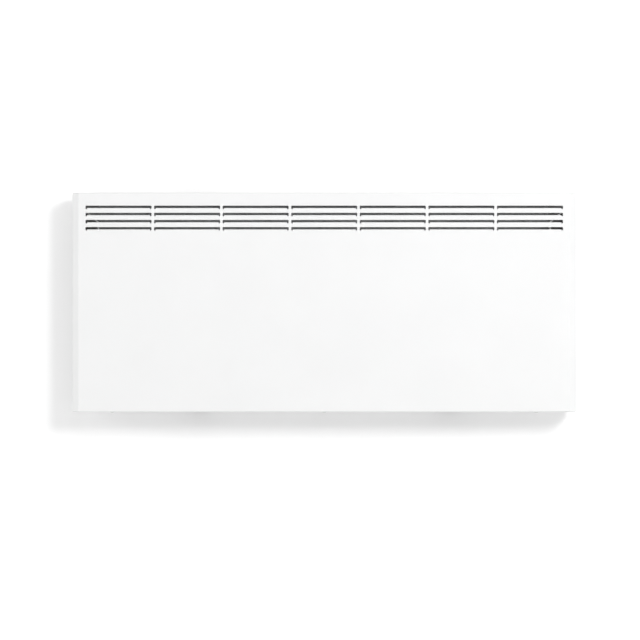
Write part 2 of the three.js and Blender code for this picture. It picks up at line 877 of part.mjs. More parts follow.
// The plate on the duct end wall, with short posts for the board and long ones for the tray's screws.
function boardHolder() {
  const plateX = wallX + fit;
  const plate = alongX(
    rectangle(controlY, controlZ, boardWidth, 2 * screwPostZ + 2 * postRadius + 4, 4),
    plateX,
    plateX + 2,
  );
  const posts = [];
  for (const u of [-1, 1]) {
    for (const v of [-1, 1]) {
      const y = controlY + u * (boardWidth / 2 - 3.5);
      const z = controlZ + v * (boardHeight / 2 - 3.5);
      posts.push(rodX(postRadius, plateX + 1, boardBackX - fit, y, z, 10));
    }
  }
  const long = [-screwPostZ, screwPostZ].map((z) =>
    rodX(postRadius, plateX + 1, trayBackX - fit, controlY, controlZ + z, 12),
  );
  const bores = [-screwPostZ, screwPostZ].map((z) =>
    rodX(screwRadius - 0.4 + fit, trayBackX - 9, trayBackX, controlY, controlZ + z, 8),
  );
  return cut(join(plate, posts, long), bores);
}

function circuitBoard() {
  const board = alongX(
    rectangle(controlY, controlZ, boardWidth, boardHeight, 1.5),
    boardBackX,
    boardX,
  );
  const notches = [-screwPostZ, screwPostZ].map((z) =>
    rodX(postRadius + 1, boardBackX - 1, boardX + 1, controlY, controlZ + z, 12),
  );
  return cut(board, notches);
}

// The potentiometer that the thermostat knob turns: a body on the board and a bush for the shaft.
function thermostatPotentiometer() {
  const bodyTop = boardX + fit + 8;
  const body = alongX(
    rectangle(controlY, knobZ, potentiometerSide, potentiometerSide, 2),
    boardX + fit,
    bodyTop,
  );
  const bush = rodX(shaftRadius + 1.8, bodyTop - 1, trayBackX - fit, controlY, knobZ, 16);
  const bore = rodX(shaftRadius + fit, bodyTop - 4, trayBackX + 1, controlY, knobZ, 16);
  return cut(join(body, bush), bore);
}

function thermostatShaft() {
  const start = boardX + fit + 4.5;
  return rodX(shaftRadius, start, trayX - 4.5, controlY, knobZ, 12);
}

// The knob: a fluted cap with a raised grip bar and a pointer groove.
function thermostatKnob() {
  const base = trayFloorX + 1;
  const top = trayX - 1.2;
  const rim = [];
  const steps = knobGrips * 4;
  for (let step = 0; step < steps; step += 1) {
    const angle = (2 * Math.PI * step) / steps;
    const radius = knobRadius - 0.4 + 0.4 * Math.cos(knobGrips * angle);
    rim.push(new THREE.Vector2(controlY + radius * Math.cos(angle), knobZ + radius * Math.sin(angle)));
  }
  const cap = alongX(rim, base, top - 3);
  const crown = turnedX(
    [
      [top, 0],
      [top, 6.4],
      [top - 0.8, 7.4],
      [top - 3.5, 8],
      [top - 3.5, 0],
    ],
    controlY,
    knobZ,
    24,
  );
  const hollow = rodX(knobRadius - 2.2, base - 1, top - 5, controlY, knobZ, 20);
  const boss = rodX(shaftRadius + 2, base, top - 4, controlY, knobZ, 16);
  const bore = rodX(shaftRadius + fit, base - 1, trayX - 4.2, controlY, knobZ, 12);
  const pointer = alongX(rectangle(controlY, knobZ + 4.2, 1.2, 5), top - 0.6, top + 1);
  return cut(join(cut(cap, hollow), boss, crown), bore, pointer);
}

function switchHousing() {
  const rim = alongX(
    rectangle(controlY, switchZ, switchWidth, switchHeight, 1.5),
    trayFloorX + fit,
    trayFloorX + fit + switchRim,
  );
  const body = alongX(
    rectangle(controlY, switchZ, switchWidth - 2, switchHeight - 3),
    trayBackX - switchBody + 3,
    trayFloorX + fit + 0.5,
  );
  const hollow = alongX(
    rectangle(controlY, switchZ, rockerWidth + 2 * fit, 2 * (rockerRadius + fit)),
    rockerX - 6,
    rockerX + 2,
  );
  const pivotHole = alongY(
    circle(rockerX - 1.7, switchZ, 1.2 + fit, 10),
    controlY - rockerWidth / 2 - 1.1,
    controlY + rockerWidth / 2 + 1.1,
  );
  const tabs = [-6, 0, 6].map((offset) =>
    alongX(
      rectangle(controlY, switchZ + offset, 4.8, 0.8),
      trayBackX - switchBody,
      trayBackX - switchBody + 4,
    ),
  );
  return join(cut(join(rim, body), hollow, pivotHole), tabs);
}

// The rocker, drawn level and then pressed at its lower end.
function switchRocker() {
  const drum = alongY(
    circle(0, 0, rockerRadius, 28),
    controlY - rockerWidth / 2,
    controlY + rockerWidth / 2,
  );
  const rise = 4.2;
  const slope = rockerRadius * Math.tan(rockerTilt);
  const wedge = alongY(
    [
      [-2.4, -rockerRadius - 1],
      [rise, -rockerRadius - 1],
      [rise - slope, 0],
      [rise, rockerRadius + 1],
      [-2.4, rockerRadius + 1],
    ].map(([u, v]) => new THREE.Vector2(u, v)),
    controlY - rockerWidth,
    controlY + rockerWidth,
  );
  const pins = alongY(
    circle(0, 0, 1.2, 10),
    controlY - rockerWidth / 2 - 0.8,
    controlY + rockerWidth / 2 + 0.8,
  );
  return join(drum.intersect(wedge), pins);
}

function indicatorLens() {
  const floor = trayFloorX;
  const back = boardX + fit;
  return turnedX(
    [
      [floor + 2.2, 0],
      [floor + 1.9, 1.3],
      [floor + 1.1, 2.2],
      [floor, lampRadius],
      [back + 3, lampRadius],
      [back + 3, lampRadius + 0.6],
      [back, lampRadius + 0.6],
      [back, 0],
    ],
    controlY,
    lampZ,
    16,
  );
}

function powerRelay() {
  const y = controlY - boardWidth / 2 + relayWidth / 2 + 0.5;
  const z = boardLowZ + relayRise + relayHeight / 2;
  const plan = rectangle(y, z, relayWidth, relayHeight, 1);
  return alongX(plan, boardX + fit, boardX + fit + relayDepth);
}

// ---------------------------------------------------------------------------------------------------------------
// Supply, earth and sensor
// ---------------------------------------------------------------------------------------------------------------

function cableGland() {
  const back = rearY + fit;
  const profile = [
    [rearInsideY - 10, glandBore],
    [rearInsideY - 10, glandRadius],
    [back, glandRadius],
    [back, glandHead],
    [back + 4.5, glandHead],
    [back + 8, glandHead - 2.5],
    [back + 8, glandBore],
    [rearInsideY - 10, glandBore],
  ];
  return turnedY(profile, glandX, glandZ, 20);
}

function glandNut() {
  const back = rearInsideY - fit;
  const ring = alongY(circle(glandX, glandZ, glandHead + 1, 6), back - 4.5, back);
  return cut(ring, rodY(glandRadius + fit, back - 6, back + 1, glandX, glandZ, 20));
}

function terminalBlock() {
  const back = rearInsideY - fit;
  const block = alongY(
    rectangle(terminalX, terminalZ, terminalWidth, terminalHeight, 1),
    back - terminalDepth,
    back,
  );
  const holes = [];
  for (const pole of [-1, 0, 1]) {
    const x = terminalX + pole * terminalPitch;
    holes.push(rodY(2.2, back - terminalDepth - 1, back - terminalDepth + 5, x, terminalZ + 5, 10));
    holes.push(rodY(2.2, back - terminalDepth - 1, back - terminalDepth + 5, x, terminalZ - 5, 10));
    holes.push(rodZ(2, terminalZ - terminalHeight, terminalZ - 4, x, back - terminalDepth / 2, 10));
    holes.push(rodZ(2, terminalZ + 4, terminalZ + terminalHeight, x, back - terminalDepth / 2, 10));
  }
  return cut(block, holes);
}

function earthStud() {
  const back = rearInsideY - fit;
  const base = rodY(4, back - 1.2, back, earthX, earthZ, 12);
  return join(base, rodY(2, back - 13, back - 1, earthX, earthZ, 10));
}

function earthNut() {
  const back = rearInsideY - fit - 1.2 - fit;
  const ring = alongY(circle(earthX, earthZ, 4, 6), back - 3.2, back);
  return cut(ring, rodY(2 + fit, back - 5, back + 1, earthX, earthZ, 10));
}

function roomSensor() {
  const half = sensorLength / 2;
  return turnedY(
    [
      [sensorY - half, 0],
      [sensorY - half + 0.8, sensorRadius - 0.8],
      [sensorY - half + 2, sensorRadius],
      [sensorY + half, sensorRadius],
      [sensorY + half, 0],
    ],
    sensorX,
    sensorZ,
    12,
  );
}

// The clip on the duct end wall that holds the room sensor in the stream of cool air.
function sensorClip() {
  const plateX = wallX + fit;
  const plate = alongX(rectangle(sensorY, sensorZ + 3, 12, 16, 2), plateX, plateX + 1.4);
  const arm = alongX(rectangle(sensorY, sensorZ, 8, 2), plateX + 1, sensorX - sensorRadius - 1);
  const ring = rodY(sensorRadius + 1.8, sensorY - 4, sensorY + 4, sensorX, sensorZ, 16);
  const bore = rodY(sensorRadius + fit, sensorY - 6, sensorY + 6, sensorX, sensorZ, 16);
  const mouth = alongY(
    rectangle(sensorX + 4, sensorZ, 8, sensorRadius * 1.4),
    sensorY - 6,
    sensorY + 6,
  );
  return cut(join(plate, arm, ring), bore, mouth);
}

// ---------------------------------------------------------------------------------------------------------------
// Wall bracket
// ---------------------------------------------------------------------------------------------------------------

// An upright of the wall bracket: a channel with hooks in its legs and a window for the rail in its left leg.
// Its own x is measured from its middle.
function bracketUpright() {
  const half = uprightWidth / 2;
  const inner = half - uprightSheet;
  const plan = outline(
    [
      [-half, 0, uprightBend],
      [half, 0, uprightBend],
      [half, -uprightDepth],
      [inner, -uprightDepth],
      [inner, -uprightSheet, uprightBend - uprightSheet],
      [-inner, -uprightSheet, uprightBend - uprightSheet],
      [-inner, -uprightDepth],
      [-half, -uprightDepth],
    ],
    2,
  );
  const channel = alongZ(plan, uprightBottom, uprightTop);
  const slotWidth = 2 * (pinRadius + fit);
  const seat = rodX(pinRadius + fit, -half - 1, half + 1, pivotY, pivotZ, 20);
  const mouthEnd = [pivotY + 30 * Math.cos(hookAngle), pivotZ + 30 * Math.sin(hookAngle)];
  const mouth = alongX(strip([[pivotY, pivotZ], mouthEnd], slotWidth), -half - 1, half + 1);
  const toe = alongX(
    [
      [-uprightDepth - 2, pivotZ + 1],
      [-uprightDepth, pivotZ + 1],
      [-uprightDepth + 6, uprightBottom - 1],
      [-uprightDepth - 2, uprightBottom - 1],
    ].map(([u, v]) => new THREE.Vector2(u, v)),
    -half - 1,
    half + 1,
  );
  const shoulder = alongX(
    [
      [-uprightDepth - 1, uprightTop - 8],
      [-uprightDepth + 8, uprightTop + 1],
      [-uprightDepth - 1, uprightTop + 1],
    ].map(([u, v]) => new THREE.Vector2(u, v)),
    -half - 1,
    half + 1,
  );
  const passage = 2 * uprightSheet + 2 * fit + 0.5; // front of the window that lets the rail in
  const railWindow = alongX(
    rectangle(-(uprightSheet + passage) / 2, 0, passage - uprightSheet, railHeight + 4),
    -half - 1,
    -inner + uprightBend,
  );
  const slots = wallSlotZ.map((z) => alongY(rectangle(0, z, 7, 15, 3.4, 3), -uprightSheet - 1, 1));
  const rivetHole = rodY(rivetRadius + fit, -uprightSheet - 1, 1, 0, 0, 12);
  const springHole = rodY(rivetRadius + fit, -uprightSheet - 1, 1, 0, springFoot + 6, 12);
  return cut(channel, seat, mouth, toe, shoulder, railWindow, slots, rivetHole, springHole);
}

// The rail between the uprights. It lies on the wall and steps forward over the uprights' webs at its ends.
function bracketRail() {
  const wallPlane = -uprightSheet / 2;
  const lapPlane = -uprightSheet - fit - uprightSheet / 2;
  const inside = uprightSpacing / 2 - uprightWidth / 2;
  const end = inside + railLap;
  const step = inside - 4;
  const start = inside - 12;
  const path = strip(
    [
      [-end, lapPlane],
      [-step, lapPlane, 1.5],
      [-start, wallPlane, 1.5],
      [start, wallPlane, 1.5],
      [step, lapPlane, 1.5],
      [end, lapPlane],
    ],
    uprightSheet,
  );
  const rail = alongZ(path, -railHeight / 2, railHeight / 2);
  const holes = sides.map(([side]) =>
    rodY(rivetRadius + fit, -10, 1, (side * uprightSpacing) / 2, 0, 12),
  );
  const slots = [-110, 110].map((x) => alongY(rectangle(x, 0, 16, 7, 3.4, 3), -5, 1));
  return cut(rail, holes, slots);
}

// A rivet with its head forward and its shank flush with the sheet behind it. Its own y starts at the wall.
function rivet(headFaceY, shankBackY) {
  const profile = [
    [headFaceY - rivetHeadHeight, 0],
    [headFaceY - rivetHeadHeight, rivetHead - 1.4],
    [headFaceY - 0.6, rivetHead],
    [headFaceY, rivetHead],
    [headFaceY, rivetRadius],
    [shankBackY, rivetRadius],
    [shankBackY, 0],
  ];
  return turnedY(profile, 0, 0, 10);
}

// The latch spring: a leaf on the upright whose nose passes through a slot in the rear panel and holds the
// heater back, with a tail above it to press.
function latchSpring() {
  const foot = -uprightSheet - fit - springSheet / 2;
  const nose = rearY - latchNose + springSheet;
  const profile = strip(
    [
      [foot, springFoot],
      [foot, springFoot + 22, 8],
      [rearY + 5, latchZ - 7, 3],
      [nose, latchZ, 1.2],
      [rearY + 6, latchZ + 7, 3],
      [rearY + 12, latchZ + 24],
    ],
    springSheet,
  );
  const leaf = alongX(profile, -springWidth / 2, springWidth / 2);
  return cut(leaf, rodY(rivetRadius + fit, -10, 1, 0, springFoot + 6, 12));
}

// The bracket on the back of the heater that carries a pivot pin between the legs of an upright.
function pivotBracket() {
  const half = uprightWidth / 2 - uprightSheet - 1.5;
  const back = rearY + fit;
  const plate = alongY(
    rectangle(
      0,
      (pivotPlateTop + pivotZ - earRadius) / 2,
      2 * half,
      pivotPlateTop - pivotZ + earRadius,
      1.5,
    ),
    back,
    back + earSheet,
  );
  const earOutline = outline(
    [
      [back, pivotZ - earRadius],
      [pivotY + earRadius, pivotZ - earRadius, earRadius - 0.5],
      [pivotY + earRadius, pivotZ + earRadius, earRadius - 0.5],
      [back, pivotZ + earRadius + 8],
    ],
    4,
  );
  const ears = sides.map(([side]) => {
    const ends = side < 0 ? [-half, -half + earSheet] : [half - earSheet, half];
    return alongX(earOutline, ...ends);
  });
  const pinHole = rodX(pinRadius + fit, -half - 1, half + 1, pivotY, pivotZ, 20);
  const rivetHoles = [0, 1].map((index) =>
    rodY(rivetRadius + fit, back - 1, back + earSheet + 1, 0, pivotRivetZ(index), 12),
  );
  return cut(join(plate, ears), pinHole, rivetHoles);
}

function pivotPin() {
  const half = pinLength / 2;
  return turnedX(
    [
      [half, 0],
      [half, pinRadius - 0.6],
      [half - 0.8, pinRadius],
      [-half + 0.8, pinRadius],
      [-half, pinRadius - 0.6],
      [-half, 0],
    ],
    pivotY,
    pivotZ,
    16,
  );
}

// A rivet of a pivot bracket: head behind the bracket's plate, shank through the rear panel.
function pivotRivet() {
  const headFace = rearY + fit + earSheet + fit;
  const profile = [
    [rearInsideY, 0],
    [rearInsideY, rivetRadius],
    [headFace, rivetRadius],
    [headFace, rivetHead - 0.6],
    [headFace + 0.5, rivetHead - 0.6],
    [headFace + rivetHeadHeight, rivetHead - 1.8],
    [headFace + rivetHeadHeight, 0],
  ];
  return turnedY(profile, 0, 0, 10);
}

// ---------------------------------------------------------------------------------------------------------------
// Internal wiring
// ---------------------------------------------------------------------------------------------------------------

const wireRadius = 1.3;
const cavityY = (rearInsideY + shieldY) / 2; // middle of the space behind the heat shield
const studEnd = sheathLength / 2 + fit + studLength;

// The last stretch of a lead, square to the circuit board.
function boardEnd(y, z) {
  return [
    [boardX + 8, y, z - 1],
    [boardX + 4, y, z],
    [boardX + 2 * fit, y, z],
  ];
}

// The first stretch of a lead, out of the top of a pole of the terminal block.
function terminalStart(pole, rise) {
  const x = terminalX + pole * terminalPitch;
  const y = rearInsideY - fit - terminalDepth / 2;
  return [
    [x, y, terminalZ + 4 + 2 * fit],
    [x, y, terminalZ + terminalHeight / 2 + 3],
    [x, y, terminalZ + terminalHeight / 2 + rise],
  ];
}

const studSide = studEnd + fit + wireRadius;
const padZ = boardLowZ + 2.6;

const lowFront = frontY + 23;

const leadRoutes = {
  lead_element_left: [
    [-studSide - fit, elementY, elementHeight],
    [-studSide - 1, elementY + 4, elementHeight + 2],
    [-studSide - 1, elementY + 12, elementHeight + 7],
    [-wallX - 17.4, cavityY - 1, earthZ - 3],
    [-wallX - 5.4, cavityY, earthZ],
    [-ductHalfWidth + 32, cavityY, earthZ + 2],
    [-ductHalfWidth / 2, cavityY, elementHeight + 68],
    [0, cavityY, elementHeight + 103],
    [cutoutX / 1.5, cavityY, cutoutZ - 10],
    [cutoutX - 40, cavityY, cutoutZ - 1],
    [cutoutX - cutoutRadius - 2 * fit, cavityY, cutoutZ],
  ],
  lead_cutout: [
    [cutoutX + cutoutRadius + 2 * fit, cavityY, cutoutZ],
    [cutoutX + 40, cavityY, cutoutZ],
    [ductHalfWidth - 8, cavityY, cutoutZ],
    [wallX + 8.4, cavityY, cutoutZ - 1],
    [boardX + 4, cavityY - 1, cutoutZ + 1],
    [boardX + 11, cavityY - 5, cutoutZ + 3],
    ...boardEnd(controlY + boardWidth / 2 - 5, padZ + 9.4),
  ],
  lead_element_right: [
    [studSide, elementY, elementHeight],
    [studSide + 1, elementY - 6, elementHeight + 14],
    [studEnd, elementY - 10, elementHeight + 48],
    [studEnd - 1, elementY - 13, boardLowZ - 45],
    [boardX + 11, controlY - 15, boardLowZ - 10],
    ...boardEnd(controlY - 15.6, padZ),
  ],
  lead_live: [
    ...terminalStart(0, 8),
    [terminalX + 8, rearInsideY - 14, terminalZ + 66],
    [terminalX + 6, rearInsideY - 18, boardLowZ - 45],
    [boardX + 12, controlY + 11, boardLowZ - 12],
    ...boardEnd(controlY + 11, padZ),
  ],
  lead_neutral: [
    ...terminalStart(1, 8),
    [terminalX + 11, rearInsideY - 18, terminalZ + 66],
    [terminalX + 10, rearInsideY - 14, boardLowZ - 45],
    [boardX + 12, controlY + 16, boardLowZ - 10],
    ...boardEnd(controlY + 16, padZ),
  ],
  lead_earth: [
    ...terminalStart(-1, 6),
    [terminalX - terminalPitch - 1, rearInsideY - 9, earthZ - 20],
    [earthX, rearInsideY - 4, earthZ - 12],
    [earthX, rearInsideY - 3.5, earthZ - 4 - fit],
  ],
  lead_sensor: [
    [sensorX, sensorY + sensorLength / 2 + 2 * fit, sensorZ],
    [sensorX, sensorY + sensorLength / 2 + 4, sensorZ],
    [sensorX + 2, sensorY + sensorLength / 2 + 9, sensorZ + 5],
    [sensorX + 14, sensorY + sensorLength / 2 + 1, sensorZ + 28],
    [sensorX + 15, lowFront, sensorZ + 80],
    [sensorX + 10, lowFront - 8, boardLowZ - 65],
    [boardX + 14, controlY - 8, boardLowZ - 12],
    ...boardEnd(controlY - 10.4, padZ),
  ],
};

const leadMaterials = {
  lead_element_left: wireBrown,
  lead_cutout: wireBrown,
  lead_element_right: wireBlue,
  lead_live: wireBrown,
  lead_neutral: wireBlue,
  lead_earth: wireGreen,
  lead_sensor: wireWhite,
};

// ---------------------------------------------------------------------------------------------------------------
// Assembly
// ---------------------------------------------------------------------------------------------------------------

function placed(mesh, x, y = 0, z = 0) {
  mesh.position.set(x, y, z);
  return mesh;
}

function wallBracket() {
  const group = new THREE.Group();
  const upright = bracketUpright();
  const mirrored = upright.mirror([1, 0, 0]);
  group.add(named("bracket_rail", bracketRail(), zincSteel));
  const lapFace = -2 * uprightSheet - 2 * fit;
  for (const [side, word] of sides) {
    const x = (side * uprightSpacing) / 2;
    const shape = side < 0 ? mirrored : upright;
    group.add(placed(named("bracket_upright_" + word, shape, zincSteel), x));
    group.add(placed(named("rail_rivet_" + word, rivet(lapFace, -0.2), zincSteel), x));
    group.add(placed(named("latch_spring_" + word, latchSpring(), springSteel), x));
    const springFace = -uprightSheet - springSheet - 2 * fit;
    const pinned = named("latch_rivet_" + word, rivet(springFace, -0.2), zincSteel);
    group.add(placed(pinned, x, 0, springFoot + 6));
  }
  return group;
}

function pivots() {
  const group = new THREE.Group();
  for (const [side, word] of sides) {
    const x = (side * uprightSpacing) / 2;
    group.add(placed(named("pivot_bracket_" + word, pivotBracket(), zincSteel), x));
    group.add(placed(named("pivot_pin_" + word, pivotPin(), zincSteel), x));
    ["upper", "lower"].forEach((place, index) => {
      const mesh = named("pivot_rivet_" + word + "_" + place, pivotRivet(), zincSteel);
      group.add(placed(mesh, x, 0, pivotRivetZ(index)));
    });
  }
  return group;
}

function casing() {
  const group = new THREE.Group();
  group.add(named("front_panel", frontPanel(), whitePaint));
  group.add(named("rear_panel", rearPanel(), whitePaint));
  casingScrewX.forEach((x, index) => {
    const mesh = named("casing_screw_" + (index + 1), casingScrew(), zincSteel);
    group.add(placed(mesh, x, casingScrewY));
  });
  return group;
}

function airDuct() {
  const group = new THREE.Group();
  group.add(named("heat_shield", heatShield(), zincSteel));
  group.add(named("outlet_deflector", outletDeflector(), zincSteel));
  for (const [side, word] of sides) {
    group.add(named("duct_end_wall_" + word, ductEndWall(side), zincSteel));
  }
  return group;
}

function heatingElement() {
  const group = new THREE.Group();
  group.add(named("element_fins", elementFins(), aluminium));
  group.add(named("element_sheath", elementSheath(), sheathSteel));
  group.add(named("element_rest", elementRest(), zincSteel));
  group.add(named("thermal_cutout", thermalCutout(), blackPlastic));
  for (const [side, word] of sides) {
    group.add(named("element_bush_" + word, elementBush(side), ceramic));
    group.add(named("element_stud_" + word, elementStud(side), brass));
  }
  return group;
}

function controls() {
  const group = new THREE.Group();
  group.add(named("control_tray", controlTray(), whitePlastic));
  group.add(named("bezel_screw_lower", bezelScrew(-screwPostZ), zincSteel));
  group.add(named("bezel_screw_upper", bezelScrew(screwPostZ), zincSteel));
  group.add(named("board_holder", boardHolder(), greyPlastic));
  group.add(named("circuit_board", circuitBoard(), boardGreen));
  group.add(named("thermostat_potentiometer", thermostatPotentiometer(), blackPlastic));
  group.add(named("thermostat_shaft", thermostatShaft(), zincSteel));
  group.add(named("thermostat_knob", thermostatKnob(), whitePlastic));
  group.add(named("switch_housing", switchHousing(), blackPlastic));
  const rocker = named("switch_rocker", switchRocker(), blackPlastic);
  rocker.position.set(rockerX - 1.7, 0, switchZ);
  rocker.rotation.y = rockerTilt;
  group.add(rocker);
  group.add(named("indicator_lens", indicatorLens(), lensRed));
  group.add(named("power_relay", powerRelay(), blackPlastic));
  return group;
}

function supply() {
  const group = new THREE.Group();
  group.add(named("cable_gland", cableGland(), blackPlastic));
  group.add(named("gland_nut", glandNut(), blackPlastic));
  group.add(named("terminal_block", terminalBlock(), whitePlastic));
  group.add(named("earth_stud", earthStud(), brass));
  group.add(named("earth_nut", earthNut(), brass));
  group.add(named("room_sensor", roomSensor(), blackPlastic));
  group.add(named("sensor_clip", sensorClip(), whitePlastic));
  return group;
}

function wiring() {
  const group = new THREE.Group();
  for (const [name, route] of Object.entries(leadRoutes)) {
    const steps = 2 + 2 * route.length;
    group.add(named(name, wire(route, wireRadius, steps), leadMaterials[name]));
  }
  return group;
}

const heater = new THREE.Group();
heater.add(casing(), airDuct(), heatingElement(), controls(), supply(), wiring(), pivots());

const wallPanelHeater = new THREE.Group();
wallPanelHeater.add(wallBracket(), heater);

export default wallPanelHeater;
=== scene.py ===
import json
import math

import bmesh
import bpy
from mathutils import Matrix, Vector


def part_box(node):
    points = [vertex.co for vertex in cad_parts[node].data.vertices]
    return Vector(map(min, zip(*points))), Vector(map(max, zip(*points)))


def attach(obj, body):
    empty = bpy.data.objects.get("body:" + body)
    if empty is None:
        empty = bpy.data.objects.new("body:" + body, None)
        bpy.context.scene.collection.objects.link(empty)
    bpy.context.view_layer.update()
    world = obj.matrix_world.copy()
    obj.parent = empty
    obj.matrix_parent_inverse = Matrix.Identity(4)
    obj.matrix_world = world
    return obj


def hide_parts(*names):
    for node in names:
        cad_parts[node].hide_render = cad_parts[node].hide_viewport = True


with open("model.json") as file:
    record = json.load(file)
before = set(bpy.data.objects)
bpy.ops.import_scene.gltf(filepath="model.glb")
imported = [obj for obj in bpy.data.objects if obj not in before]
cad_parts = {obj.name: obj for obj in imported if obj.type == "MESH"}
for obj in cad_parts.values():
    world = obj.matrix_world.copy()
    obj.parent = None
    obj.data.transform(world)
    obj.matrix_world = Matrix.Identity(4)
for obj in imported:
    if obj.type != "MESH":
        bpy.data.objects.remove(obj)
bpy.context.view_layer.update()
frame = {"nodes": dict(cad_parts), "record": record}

# Lengths are in metres.
OVERCUT = 0.001  # how far a cutter passes the face that it cuts
HALF_WIDTH = 0.460
HALF_HEIGHT = 0.200
FRONT = -0.085
PAN_END = -0.0265  # back edge of the front panel's returns
SHEET = 0.0008
CHAMFER = 0.012
EDGE_RADIUS = 0.0024
BEND_OFFSET = 0.0009

BAYS = 7
BAY_PITCH = 0.125
ROWS = 4
ROW_PITCH = 0.013
FIRST_ROW = 0.1764  # top of the uppermost openings
SLOT_LENGTH = 0.1203
SLOT_GAP = 0.0042
SLOT_CORNER = 0.0014
LIP_RADIUS = 0.0022
LIP_REACH = 0.0036
LIP_NOTCH = 0.0027
INTAKE_ROWS = 3
INTAKE_FRONT = -0.063
INTAKE_PITCH = 0.012
INTAKE_LENGTH = 0.108
INTAKE_WIDTH = 0.007
SCREW_X = (-0.390, 0.0, 0.390)
SCREW_Y = -0.031
SCREW_HOLE = 0.0022

CONTROL_Y = -0.055
CONTROL_Z = 0.062
WINDOW_WIDTH = 0.030
WINDOW_HEIGHT = 0.096
WINDOW_CORNER = 0.005
TRAY_X = 0.4589
TRAY_FLOOR = 0.4469
BOARD_FACE = 0.4304
KNOB_Z = 0.083
KNOB_RADIUS = 0.0115
KNOB_GRIPS = 18
KNOB_FLUTE = 0.00035
POINTER_REACH = 0.0042  # middle of the pointer, from the knob's axis
SWITCH_Z = 0.037
ROCKER_RADIUS = 0.0077
ROCKER_PIVOT = 0.4471
ROCKER_TILT = math.radians(11)  # half of the rocker's travel
ROCKER_RISE = 0.0042  # height of the rocker's faces over its pivot
ROCKER_BLEND = 0.001
LAMP_Z = 0.058
DIAL_STROKES = 13
DIAL_START = 90  # degrees, the lowest setting at the top
DIAL_SWEEP = 270
INK = 0.00006  # thickness of a printed mark

BODIES = frame["record"]["behaviour"]["bodies"]


# ---------------------------------------------------------------------------------------------------------------
# Materials

def new_material(name):
    material = bpy.data.materials.new(name)
    material.use_nodes = True
    return material, material.node_tree.nodes, material.node_tree.links


def coordinates(nodes, links, scale):
    place = nodes.new("ShaderNodeTexCoord")
    mapping = nodes.new("ShaderNodeMapping")
    mapping.inputs["Scale"].default_value = scale
    links.new(place.outputs["Object"], mapping.inputs["Vector"])
    return mapping.outputs["Vector"]


def noise(nodes, links, vector, scale, detail=2.0):
    texture = nodes.new("ShaderNodeTexNoise")
    texture.inputs["Scale"].default_value = scale
    texture.inputs["Detail"].default_value = detail
    links.new(vector, texture.inputs["Vector"])
    return texture.outputs["Fac"]


def ramp(nodes, links, value, low, high, start=0.35, end=0.65):
    colours = nodes.new("ShaderNodeValToRGB")
    colours.color_ramp.elements[0].position = start
    colours.color_ramp.elements[0].color = (*low, 1)
    colours.color_ramp.elements[1].position = end
    colours.color_ramp.elements[1].color = (*high, 1)
    links.new(value, colours.inputs["Fac"])
    return colours.outputs["Color"]


def spread(nodes, links, value, low, high):
    remap = nodes.new("ShaderNodeMapRange")
    remap.inputs["To Min"].default_value = low
    remap.inputs["To Max"].default_value = high
    links.new(value, remap.inputs["Value"])
    return remap.outputs["Result"]


def bump(nodes, links, value, shader, distance):
    node = nodes.new("ShaderNodeBump")
    node.inputs["Distance"].default_value = distance
    node.inputs["Strength"].default_value = 1.0
    links.new(value, node.inputs["Height"])
    links.new(node.outputs["Normal"], shader.inputs["Normal"])


def surface(name, low, high, scale=60.0, rough=(0.4, 0.5), metallic=0.0, stretch=(1, 1, 1),
            grain=0.0, grain_scale=900.0, coat=0.0):
    """A finish whose colour and roughness drift a little over the piece, with a fine grain."""
    material, nodes, links = new_material(name)
    shader = nodes["Principled BSDF"]
    vector = coordinates(nodes, links, stretch)
    drift = noise(nodes, links, vector, scale)
    links.new(ramp(nodes, links, drift, low, high), shader.inputs["Base Color"])
    links.new(spread(nodes, links, drift, *rough), shader.inputs["Roughness"])
    shader.inputs["Metallic"].default_value = metallic
    if coat:
        shader.inputs["Coat Weight"].default_value = coat
        shader.inputs["Coat Roughness"].default_value = 0.15
    if grain:
        fine = noise(nodes, links, vector, grain_scale, 3.0)
        bump(nodes, links, fine, shader, grain)
    return material


def galvanised(name, low=(0.62, 0.63, 0.64), high=(0.69, 0.70, 0.71), metallic=0.75):
    """Zinc coated sheet with its faint crystal pattern."""
    material, nodes, links = new_material(name)
    shader = nodes["Principled BSDF"]
    vector = coordinates(nodes, links, (1, 1, 1))
    crystals = nodes.new("ShaderNodeTexVoronoi")
    crystals.inputs["Scale"].default_value = 230.0
    links.new(vector, crystals.inputs["Vector"])
    tone = nodes.new("ShaderNodeSeparateColor")
    links.new(crystals.outputs["Color"], tone.inputs["Color"])
    value = tone.outputs["Red"]
    links.new(ramp(nodes, links, value, low, high, 0.0, 1.0), shader.inputs["Base Color"])
    links.new(spread(nodes, links, value, 0.38, 0.52), shader.inputs["Roughness"])
    shader.inputs["Metallic"].default_value = metallic
    return material


def lens_material(name):
    material, nodes, links = new_material(name)
    shader = nodes["Principled BSDF"]
    vector = coordinates(nodes, links, (1, 1, 1))
    drift = noise(nodes, links, vector, 400.0)
    links.new(ramp(nodes, links, drift, (0.62, 0.05, 0.02), (0.75, 0.09, 0.03)),
              shader.inputs["Base Color"])
    shader.inputs["Roughness"].default_value = 0.12
    shader.inputs["Transmission Weight"].default_value = 0.25
    shader.inputs["Coat Weight"].default_value = 0.5
    return material


